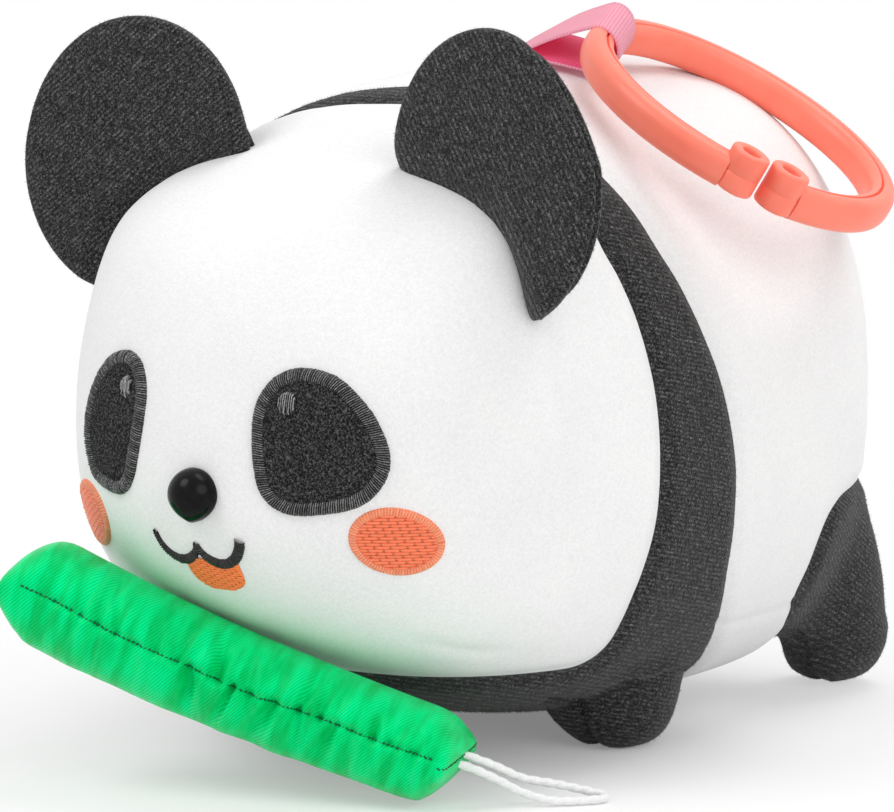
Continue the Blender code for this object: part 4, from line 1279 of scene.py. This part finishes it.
def make_mouth(cloth, thread, tongue_thread):
    bm = bmesh.new()
    for side in (1, -1):
        half = [MOUTH_MIDDLE + Vector((side * MOUTH_END[0] * step / 40, mouth_height(MOUTH_END[0] * step / 40))) * MM
                for step in range(41)]
        satin_band(bm, cloth, cloth.line(half), 1.15 * MM, 1.0 * MM, 0.5 * MM, False,
                   ends=(0.5, 1.0 if side > 0 else 0.35))
    finish_stitches(bm)
    add_piece("mouth_stitching", bm, [thread], "panda", ["mouth_stitch"])

    outline = []
    for step in range(25):
        across = TONGUE_HALF_WIDTH * (2 * step / 24 - 1)
        from_mouth = across + (TONGUE_MIDDLE.x - MOUTH_MIDDLE.x) / MM
        outline.append(Vector((across, min(mouth_height(from_mouth), MOUTH_LOBE[1] + 0.8))) * MM)
    top = outline[0].y
    for step in range(1, 24):
        angle = pi * step / 24
        outline.append(Vector((TONGUE_HALF_WIDTH * MM * cos(angle),
                               top - (top - TONGUE_BOTTOM * MM) * sin(angle) ** 0.5)))
    bm = bmesh.new()
    outline = [TONGUE_MIDDLE + point for point in outline]
    stitch_fill(bm, cloth, outline, 0.5 * MM, 2.4 * MM, 0.5 * MM, slant=0.06)
    finish_stitches(bm)
    add_piece("tongue_stitching", bm, [tongue_thread], "panda", ["tongue"])


# Ribbon and ring

RIBBON_WIDTH = 15 * MM
RIBBON_THICKNESS = 0.5 * MM
RIBBON_HINGE = Vector((0, 18.0, 136.0)) * MM
RING_BIGHT = Vector((21.5, 18.0, 139.5)) * MM
RIBBON_PITCH = 0.72 * MM
RIBBON_LENGTH = 62 * MM
RIBBON_SHIFT = 0.27
RIBBON_LOOP = 4.6 * MM
RIBBON_RIBS = RIBBON_LENGTH / RIBBON_PITCH
RING_TURN = (Matrix.Rotation(radians(30.8), 3, "Y") @ Matrix.Rotation(-radians(4.4), 3, "X")
             @ Matrix.Rotation(radians(11), 3, "Z"))
RING_RADIUS = 31.7 * MM
RING_HALF = (3.0, 3.6)
RING_POWER = 2.6
RING_OPENING = radians(120.8)
GROOVE_TURN = 0.14
GROOVE_DEPTH = 0.85
BARREL_SPACING = 8.8 * MM
BARREL_RADIUS = 4.0 * MM
BARREL_BORE = 1.9 * MM
BARREL_TOP = 5.7 * MM
BARREL_BOTTOM = -2.8 * MM


def ribbon_path():
    """Side view of the ribbon from its seam: out over the cloth, round the ring and back."""
    centre = Vector(((RING_BIGHT - RIBBON_HINGE).x, (RING_BIGHT - RIBBON_HINGE).z + 0.5 * MM))
    lower = [Vector(point) * MM for point in ((-3.0, -2.2), (-1.0, -0.8), (4.0, 1.4), (11.0, 1.0))]
    wrap = [centre + Vector((cos(turn), sin(turn))) * RIBBON_LOOP for turn in np.linspace(-1.75, 1.75, 14)]
    upper = [Vector(point) * MM for point in ((15.5, 7.0), (11.0, 5.4), (6.0, 3.2), (-1.0, 0.0), (-3.0, -1.3))]
    return even_line(smooth_line(lower + wrap + upper, 8), 0.6 * MM)


def make_ribbon(outer, inner):
    """Ribbed ribbon folded loosely round the ring; its inside faces take a deeper, more saturated copy of the pink,
    which is painted shade.
    """
    path = ribbon_path()
    straight = Vector((0, 0.96, 0.28))
    along_ring = Vector((-0.32, 0.91, 0.25))
    reach = (RING_BIGHT - RIBBON_HINGE).x
    bm = bmesh.new()
    uv = bm.loops.layers.uv.new("length")
    shells = []
    for shell in (-0.5, 0.5):
        rows = []
        for index, spot in enumerate(path):
            before, after = path[max(index - 1, 0)], path[min(index + 1, len(path) - 1)]
            heading = (after - before).normalized()
            normal = Vector((heading.y, 0, -heading.x))
            at_ring = min(max(spot.x / reach, 0), 1)
            edge = straight.lerp(along_ring, at_ring) * RIBBON_WIDTH / 2
            row = []
            for step in range(9):
                share = -1 + step / 4
                middle = RIBBON_HINGE + Vector((spot.x, 0, spot.y)) + edge * (share - RIBBON_SHIFT * at_ring)
                lift = RIBBON_THICKNESS * shell
                row.append(bm.verts.new(middle + normal * lift))
            rows.append(row)
        shells.append(rows)
    for material_index, rows in enumerate(reversed(shells)):
        grid_faces(bm, rows)
    outer_rows, inner_rows = shells[1], shells[0]
    for first, second in ((0, 0), (-1, -1)):
        for row in range(len(path) - 1):
            bm.faces.new((outer_rows[row][first], outer_rows[row + 1][first], inner_rows[row + 1][second],
                          inner_rows[row][second]))
    for row in (0, -1):
        for k in range(8):
            bm.faces.new((outer_rows[row][k], outer_rows[row][k + 1], inner_rows[row][k + 1], inner_rows[row][k]))
    place = {}
    for rows in shells:
        for index, row in enumerate(rows):
            for k, vert in enumerate(row):
                place[vert] = (k / 8, index / (len(path) - 1))
    inside = {vert for row in inner_rows for vert in row}
    bmesh.ops.recalc_face_normals(bm, faces=bm.faces)
    # Painted shade: faces of the inner shell get the deeper pink.
    for face in bm.faces:
        face.material_index = 1 if all(loop.vert in inside for loop in face.loops) else 0
        for loop in face.loops:
            loop[uv].uv = place[loop.vert]
    ribbon = add_piece("ribbon_loop", bm, [outer, inner], None, ["back_ribbon", "ribbon_tail"])
    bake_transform(ribbon)


def ring_spot(angle, out, up):
    """Point of the ring at an angle from the bight, outward and up from its centre line."""
    radius = RING_RADIUS + out
    return RING_BIGHT + RING_TURN @ Vector((RING_RADIUS - radius * cos(angle), -radius * sin(angle), up))


def ring_section():
    """Rounded section with a fine groove along its top and a parting line round the outside."""
    groove_turn = pi / 2 + GROOVE_TURN
    turns = list(np.linspace(0, tau, 56, endpoint=False)) + list(groove_turn + np.linspace(-0.16, 0.16, 17))
    spots = []
    for turn in sorted(turns):
        c, s = cos(turn), sin(turn)
        out = RING_HALF[0] * copysign(abs(c) ** (2 / RING_POWER), c)
        up = RING_HALF[1] * copysign(abs(s) ** (2 / RING_POWER), s)
        groove = GROOVE_DEPTH * exp(-((turn - groove_turn) / 0.06) ** 2)
        parting = 0.12 * exp(-((up - 0.2) / 0.2) ** 2) if out > 0 else 0.0
        spots.append(((out - parting) * MM, (up - groove) * MM))
    return spots


def make_ring(plastic):
    """Split ring: an arc of grooved section that ends in two upright barrels."""
    bm = bmesh.new()
    half_split = (BARREL_SPACING / 2 + BARREL_RADIUS - 1.0 * MM) / RING_RADIUS
    section = ring_section()
    rows = []
    for step in range(161):
        angle = RING_OPENING + half_split + (tau - 2 * half_split) * step / 160
        rows.append([bm.verts.new(ring_spot(angle, out, up)) for out, up in section])
    grid_faces(bm, rows, closed_lines=True)
    bm.faces.new(rows[0])
    bm.faces.new(list(reversed(rows[-1])))
    for side in (-1, 1):
        add_barrel(bm, RING_OPENING + side * BARREL_SPACING / 2 / RING_RADIUS)
    bmesh.ops.recalc_face_normals(bm, faces=bm.faces)
    ring = add_piece("carry_ring_body", bm, [plastic], "ring", ["carry_ring"])
    ring.data.set_sharp_from_angle(angle=radians(50))


def add_barrel(bm, angle):
    """A barrel with rounded rims, a bore and a parting groove at mid height."""
    wall, bore, top, bottom = BARREL_RADIUS / MM, BARREL_BORE / MM, BARREL_TOP / MM, BARREL_BOTTOM / MM
    ease = 0.55
    profile = [(bore, bottom + ease), (bore + ease * 0.3, bottom + ease * 0.3), (bore + ease, bottom)]
    profile += [(wall - ease, bottom), (wall - ease * 0.3, bottom + ease * 0.3), (wall, bottom + ease)]
    profile += [(wall, 1.0), (wall - 0.1, 1.15), (wall, 1.3)]
    profile += [(wall, top - ease), (wall - ease * 0.3, top - ease * 0.3), (wall - ease, top)]
    profile += [(bore + ease, top), (bore + ease * 0.3, top - ease * 0.3), (bore, top - ease)]
    centre = ring_spot(angle, 0, 0)
    rows = []
    for step in range(48):
        turn = tau * step / 48
        rows.append([bm.verts.new(centre + RING_TURN @ (Vector((radius * cos(turn), radius * sin(turn), height)) * MM))
                     for radius, height in profile])
    grid_faces(bm, rows, closed_rows=True, closed_lines=True)


# Bamboo stalk, in its own frame: x from the foot end along it, y to the front, z up

BAMBOO_LENGTH = 95.5 * MM
BAMBOO_RADIUS = 10.2 * MM
BAMBOO_SWELL = 0.08
BAMBOO_BEND = 2.3 * MM
FOOT_RISE = 2.2 * MM
BAMBOO_NET = 1.8 * MM
BAMBOO_INSET = 0.3 * MM
FOOT_CLOSING = {"upper": 6.5, "lower": 5.0, "inset": 1.9, "slant": 1.6, "rise": 1.7, "tilt": -2.4, "bluntness": 0.55}
HEAD_CLOSING = {"upper": 6.5, "lower": 7.5, "inset": -0.4, "slant": 2.0, "rise": 1.6, "tilt": -4.6, "bluntness": 0.5}
CLOSING_REACH = 20 * MM
SEAM_TURN = radians(10)
SEAM_WANDER = 0.02
TWILL_PITCH = 0.62
TUCKS = 58
SHOWN_FOLDS = 13 * MM
END_FURROW = (0.5 * MM, 0.7 * MM)


def stalk_rise(along):
    """Height of the stalk's bent axis at a place along it."""
    run = 2 * along / BAMBOO_LENGTH - 1
    return BAMBOO_BEND * np.maximum(run, 0) ** 2 + FOOT_RISE * np.maximum(-run, 0) ** 1.5


def stalk_point(along, angle):
    """Point of the stalk's plain form; each end closes to a slanting line like a pillow's."""
    girth = BAMBOO_RADIUS * (1 + BAMBOO_SWELL * (2 * along / BAMBOO_LENGTH - 1)) - BAMBOO_INSET
    across, up = cos(angle), sin(angle)
    at_foot = 2 * along < BAMBOO_LENGTH
    end = FOOT_CLOSING if at_foot else HEAD_CLOSING
    to_end = along if at_foot else BAMBOO_LENGTH - along
    closing = min(to_end / (end["upper" if up > 0 else "lower"] * MM), 1.0)
    open_share = closing ** end["bluntness"]
    side = (0.90 + 0.10 * closing) * copysign(abs(across) ** 0.86, across)
    line = (end["rise"] + end["tilt"] * side) * MM
    z = line * (1 - open_share) + girth * max(open_share, 0.06) * copysign(abs(up) ** 0.86, up)
    shift = (end["inset"] + end["slant"] * side) * MM * (1 - float(smooth_step(to_end, 0, CLOSING_REACH)))
    return Vector((along + shift, girth * side, z + stalk_rise(along)))


def make_bamboo(satin, seam_thread):
    """Stuffed satin tube with closed pillow ends, puckered along its stitched seam."""
    bm = bmesh.new()
    rows = []
    for step in range(121):
        along = BAMBOO_LENGTH * (0.5 - 0.5 * cos(pi * step / 120))
        rows.append([bm.verts.new(stalk_point(along, tau * side / 64)) for side in range(64)])
    grid_faces(bm, rows, closed_lines=True)
    bm.faces.new(rows[0])
    bm.faces.new(list(reversed(rows[-1])))
    bmesh.ops.recalc_face_normals(bm, faces=bm.faces)
    form = work_object(bm)
    even_net(form, BAMBOO_NET, 1)
    along = points_of(form.data.vertices)[:, 0]
    swell(form, (along < 7 * MM) | (along > BAMBOO_LENGTH - 6 * MM), 0.7 * MM)
    finer(form, 2)
    bm = take_bmesh(form)
    pucker(bm)
    map_satin(bm)
    seams = stitch_line(bm)
    bm.transform(STALK)
    stalk = add_piece("bamboo_cover", bm, [satin], "bamboo",
                      ["bamboo_wrap", "bamboo_end_left", "bamboo_end_right", "bamboo_stuffing"])
    make_stitches(seams, seam_thread)


def seam_angle(along):
    """Where the long seam lies round the stalk."""
    return SEAM_TURN + SEAM_WANDER * (np.sin(along / (11 * MM)) + np.sin(along / (4.3 * MM) + 1))


def seam_offset(points):
    """Signed distance round the stalk from its long seam."""
    angle = np.arctan2(points[:, 2] - stalk_rise(points[:, 0]), points[:, 1])
    turn = angle - seam_angle(points[:, 0])
    return ((turn + pi) % tau - pi) * BAMBOO_RADIUS


def pucker(bm):
    """Tucks that run out from the seam, broad folds round the tube, and the seam's own furrow."""
    bm.normal_update()
    points = points_of(bm.verts)
    off = seam_offset(points)
    along = points[:, 0]
    ends = smooth_step(np.minimum(along, BAMBOO_LENGTH - along), 2 * MM, 12 * MM)
    folds = noise_at(np.stack([along - 0.22 * off, 0.25 * off, np.zeros(len(off))], axis=1), 8.5 * MM, 5.0)
    shown = np.exp(-(off / SHOWN_FOLDS) ** 4)
    move = 0.55 * folds * (0.3 + 0.7 * ends) * shown
    draw = np.random.default_rng(3)
    for middle in np.linspace(6, 91, TUCKS) + draw.uniform(-1.2, 1.2, TUCKS):
        side = draw.choice((-1, 1))
        gather = 0.4 + exp(-((middle - 38) / 24) ** 2)
        depth = draw.uniform(0.8, 2.1) * gather
        width = draw.uniform(0.55, 1.2) * MM
        reach = draw.uniform(7, 16) * MM
        run = along - middle * MM - draw.uniform(-0.3, 0.3) * np.abs(off)
        share = np.exp(-(off / reach) ** 2) * (0.25 + 0.75 * smooth_step(off * side, -2 * MM, 1 * MM))
        move -= depth * np.exp(-(run / (width * (1 + np.abs(off) / (9 * MM)))) ** 2) * share * ends * shown
    move -= 0.65 * np.exp(-(off / (0.8 * MM)) ** 2) * ends
    for vert, shift in zip(bm.verts, move * MM):
        vert.co += vert.normal * float(shift)
    depth, width = END_FURROW
    for vert in bm.verts:
        if vert.co.x < 0.25 * BAMBOO_LENGTH:
            line = foot_line(vert.co.y)
            away = (vert.co - line).length
            vert.co.x += depth * exp(-(away / width) ** 2)


def foot_line(y):
    """Point of the line to which the foot end closes."""
    side = min(max(y / BAMBOO_RADIUS, -1), 1)
    shift = (FOOT_CLOSING["inset"] + FOOT_CLOSING["slant"] * side) * MM
    return Vector((shift, y, (FOOT_CLOSING["rise"] + FOOT_CLOSING["tilt"] * side) * MM + float(stalk_rise(0.0))))


def map_satin(bm):
    """UV in metres: along the stalk, and round it from the seam."""
    uv = bm.loops.layers.uv.new("cloth")
    bm.verts.ensure_lookup_table()
    points = points_of(bm.verts)
    off = seam_offset(points)
    bm.verts.index_update()
    for face in bm.faces:
        offs = [off[loop.vert.index] for loop in face.loops]
        wrapped = max(offs) - min(offs) > BAMBOO_RADIUS
        for loop, value in zip(face.loops, offs):
            if wrapped and value < 0:
                value += tau * BAMBOO_RADIUS
            loop[uv].uv = (loop.vert.co.x, value)


def stitch_line(bm):
    """Points on the cover along its long seam, and across its foot end."""
    tree = BVHTree.FromBMesh(bm)
    line = []
    for along in np.arange(6.5, 92.0, 0.5):
        angle = float(seam_angle(along * MM))
        rise = float(stalk_rise(along * MM))
        outside = Vector((along * MM, 30 * MM * cos(angle), 30 * MM * sin(angle) + rise))
        inward = Vector((0, -cos(angle), -sin(angle)))
        place, normal, _, _ = tree.ray_cast(outside, inward)
        if place is not None:
            line.append((STALK @ place, (STALK.to_3x3() @ normal).normalized()))
    across_end = []
    for y in np.arange(-8.0, 8.1, 0.5):
        spot = foot_line(float(y) * MM)
        place, normal, _, _ = tree.ray_cast(Vector((-30 * MM, spot.y, spot.z)), Vector((1, 0, 0)))
        if place is not None:
            across_end.append((STALK @ place, (STALK.to_3x3() @ normal).normalized()))
    return line, across_end


def make_stitches(lines, thread):
    """Machine stitches sunk in the seams, as short capsules a little out of line."""
    bm = bmesh.new()
    for line in lines:
        places = [place for place, _ in line]
        spots = even_line(places, 1.0 * MM)
        for first, second in zip(spots, spots[1:]):
            start = first.lerp(second, 0.06)
            end = first.lerp(second, 0.82)
            nearest = min(range(len(places)), key=lambda k: (places[k] - start).length)
            normal = line[nearest][1]
            across = (end - start).normalized().cross(normal)
            jitter = across * RANDOM.uniform(-0.25, 0.25) * MM
            radius = RANDOM.uniform(0.15, 0.23) * MM
            add_stitch(bm, start + normal * 0.05 * MM + jitter, end + normal * 0.05 * MM - jitter, normal, radius)
    bmesh.ops.recalc_face_normals(bm, faces=bm.faces)
    add_piece("bamboo_seam_stitches", bm, [thread], "bamboo")


def add_stitch(bm, start, end, normal, radius):
    heading = (end - start).normalized()
    across = heading.cross(normal).normalized()
    up = across.cross(heading)
    rows = []
    for share, size in ((0.0, 0.35), (0.15, 0.9), (0.5, 1.0), (0.85, 0.9), (1.0, 0.35)):
        middle = start.lerp(end, share)
        rows.append([bm.verts.new(middle + (across * cos(tau * k / 6) + up * sin(tau * k / 6)) * radius * size)
                     for k in range(6)])
    grid_faces(bm, rows, closed_lines=True)
    bm.faces.new(rows[0])
    bm.faces.new(list(reversed(rows[-1])))


# Floor and light

def set_stage():
    bm = bmesh.new()
    bmesh.ops.create_circle(bm, cap_ends=True, segments=96, radius=6)
    mesh = bpy.data.meshes.new("floor")
    bm.to_mesh(mesh)
    bm.free()
    floor = bpy.data.objects.new("floor", mesh)
    bpy.context.scene.collection.objects.link(floor)
    material = bpy.data.materials.new("pale_floor")
    material.use_nodes = True
    net = Net(material.node_tree)
    shader = material.node_tree.nodes["Principled BSDF"]
    shader.inputs["Base Color"].default_value = (0.90, 0.90, 0.90, 1)
    shader.inputs["Roughness"].default_value = 0.9
    shader.inputs["Specular IOR Level"].default_value = 0.1
    rays = net.add("ShaderNodeLightPath")
    seen = net.math("MAXIMUM", rays.outputs["Is Camera Ray"],
                    net.math("MAXIMUM", rays.outputs["Is Glossy Ray"], rays.outputs["Is Transmission Ray"]))
    length = net.add("ShaderNodeVectorMath", operation="LENGTH")
    net.link(net.place(), length.inputs[0])
    far = net.span(length.outputs["Value"], 0.03, 0.17, 0.2, 1.0)
    glow = net.add("ShaderNodeEmission")
    glow.inputs["Strength"].default_value = 1.0
    blend = net.add("ShaderNodeMixShader")
    net.link(net.math("MULTIPLY", seen, far), blend.inputs["Fac"])
    net.link(shader.outputs[0], blend.inputs[1])
    net.link(glow.outputs[0], blend.inputs[2])
    net.link(blend.outputs[0], material.node_tree.nodes["Material Output"].inputs["Surface"])
    mesh.materials.append(material)

    world = bpy.data.worlds.new("studio")
    bpy.context.scene.world = world
    world.use_nodes = True
    net = Net(world.node_tree)
    rays = net.add("ShaderNodeLightPath")
    seen = net.math("MAXIMUM", rays.outputs["Is Camera Ray"],
                    net.math("MAXIMUM", rays.outputs["Is Glossy Ray"], rays.outputs["Is Transmission Ray"]))
    background = world.node_tree.nodes["Background"]
    background.inputs["Color"].default_value = (1, 1, 1, 1)
    net.link(net.span(seen, 0.0, 1.0, WORLD_LIGHT, 1.0), background.inputs["Strength"])

    for name, place, size, power in LAMPS:
        lamp = bpy.data.lights.new(name, "AREA")
        lamp.shape = "DISK"
        lamp.size = size
        lamp.energy = power
        holder = bpy.data.objects.new(name, lamp)
        bpy.context.scene.collection.objects.link(holder)
        holder.location = place
        aim = Vector((0, 0, 0.06)) - Vector(place)
        holder.rotation_euler = aim.to_track_quat("-Z", "Y").to_euler()


WORLD_LIGHT = 0.54
LAMPS = (
    ("key_lamp", (-0.45, -0.75, 1.05), 0.7, 5.6),
    ("fill_lamp", (1.05, -0.4, 0.65), 0.9, 4.6),
    ("top_lamp", (0.25, 0.35, 1.2), 0.8, 5.6),
)


def main():
    bpy.context.scene.view_settings.view_transform = "Standard"
    place_camera()
    make_cord(white_cord())
    set_stage()
    white = white_plush()
    body = make_body(white, black_plush("black_plush_band", (0.0, 0.25, 1.0)),
                     black_plush("black_plush_thigh", (0.0, 0.5, 0.87)))
    nap = nap_fibres()
    for word in ("shoulders", "thigh_left", "thigh_right"):
        make_nap(word + "_nap", body[word], nap, "panda")
    make_ears({"left": black_plush("black_plush_ear_left", (0.71, 0.56, 0.40)),
               "right": black_plush("black_plush_ear_right", (-0.59, -0.27, 0.76))}, nap)
    cloth = FaceCloth(body["head"])
    # The eye border's crests are painted far lighter than the mouth thread's: painted highlight.
    thread = floss("black_thread", (0.001, 0.001, 0.001), (0.32, 0.32, 0.32), faded=0.35, streak=0.36, lit_from=0.42,
                   gloss=0.2)
    mouth = floss("mouth_thread", (0.003, 0.003, 0.003), (0.07, 0.07, 0.07), gloss=0.2)
    orange = floss("orange_thread", (0.97, 0.16, 0.065), (1.0, 0.29, 0.14), faded=0.9, pricked=0.72)
    # A lighter copy of the orange thread for the cheek rims: painted sheen.
    orange_painted_sheen = floss("orange_painted_sheen_thread", (0.96, 0.20, 0.09), (1.0, 0.42, 0.24), faded=0.85)
    tongue = floss("tongue_thread", (1.0, 0.18, 0.035), (1.0, 0.30, 0.085), faded=0.96, pricked=0.78)
    make_eyes(cloth, black_felt(), thread, floss("grey_thread", (0.02, 0.02, 0.02), (0.50, 0.50, 0.50), faded=0.5, streak=0.4, lit_from=0.3))
    make_cheeks(cloth, orange, orange_painted_sheen)
    make_nose(cloth, glossy_nose())
    make_mouth(cloth, mouth, tongue)
    make_ring(coral_plastic())
    # The second finish is a deeper copy of the pink for the ribbon's inside: painted shade.
    make_ribbon(ribbon_cloth("pink_ribbon", (0.84, 0.32, 0.46), (0.97, 0.58, 0.70)),
                ribbon_cloth("pink_ribbon_painted_shade", (1.0, 0.07, 0.24), (1.0, 0.20, 0.42)))
    make_bamboo(green_satin(), floss("green_thread", (0.0, 0.04, 0.01), (0.0, 0.15, 0.04)))
    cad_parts["nose_washer"].data.materials.clear()
    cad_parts["nose_washer"].data.materials.append(clear_plastic())


main()
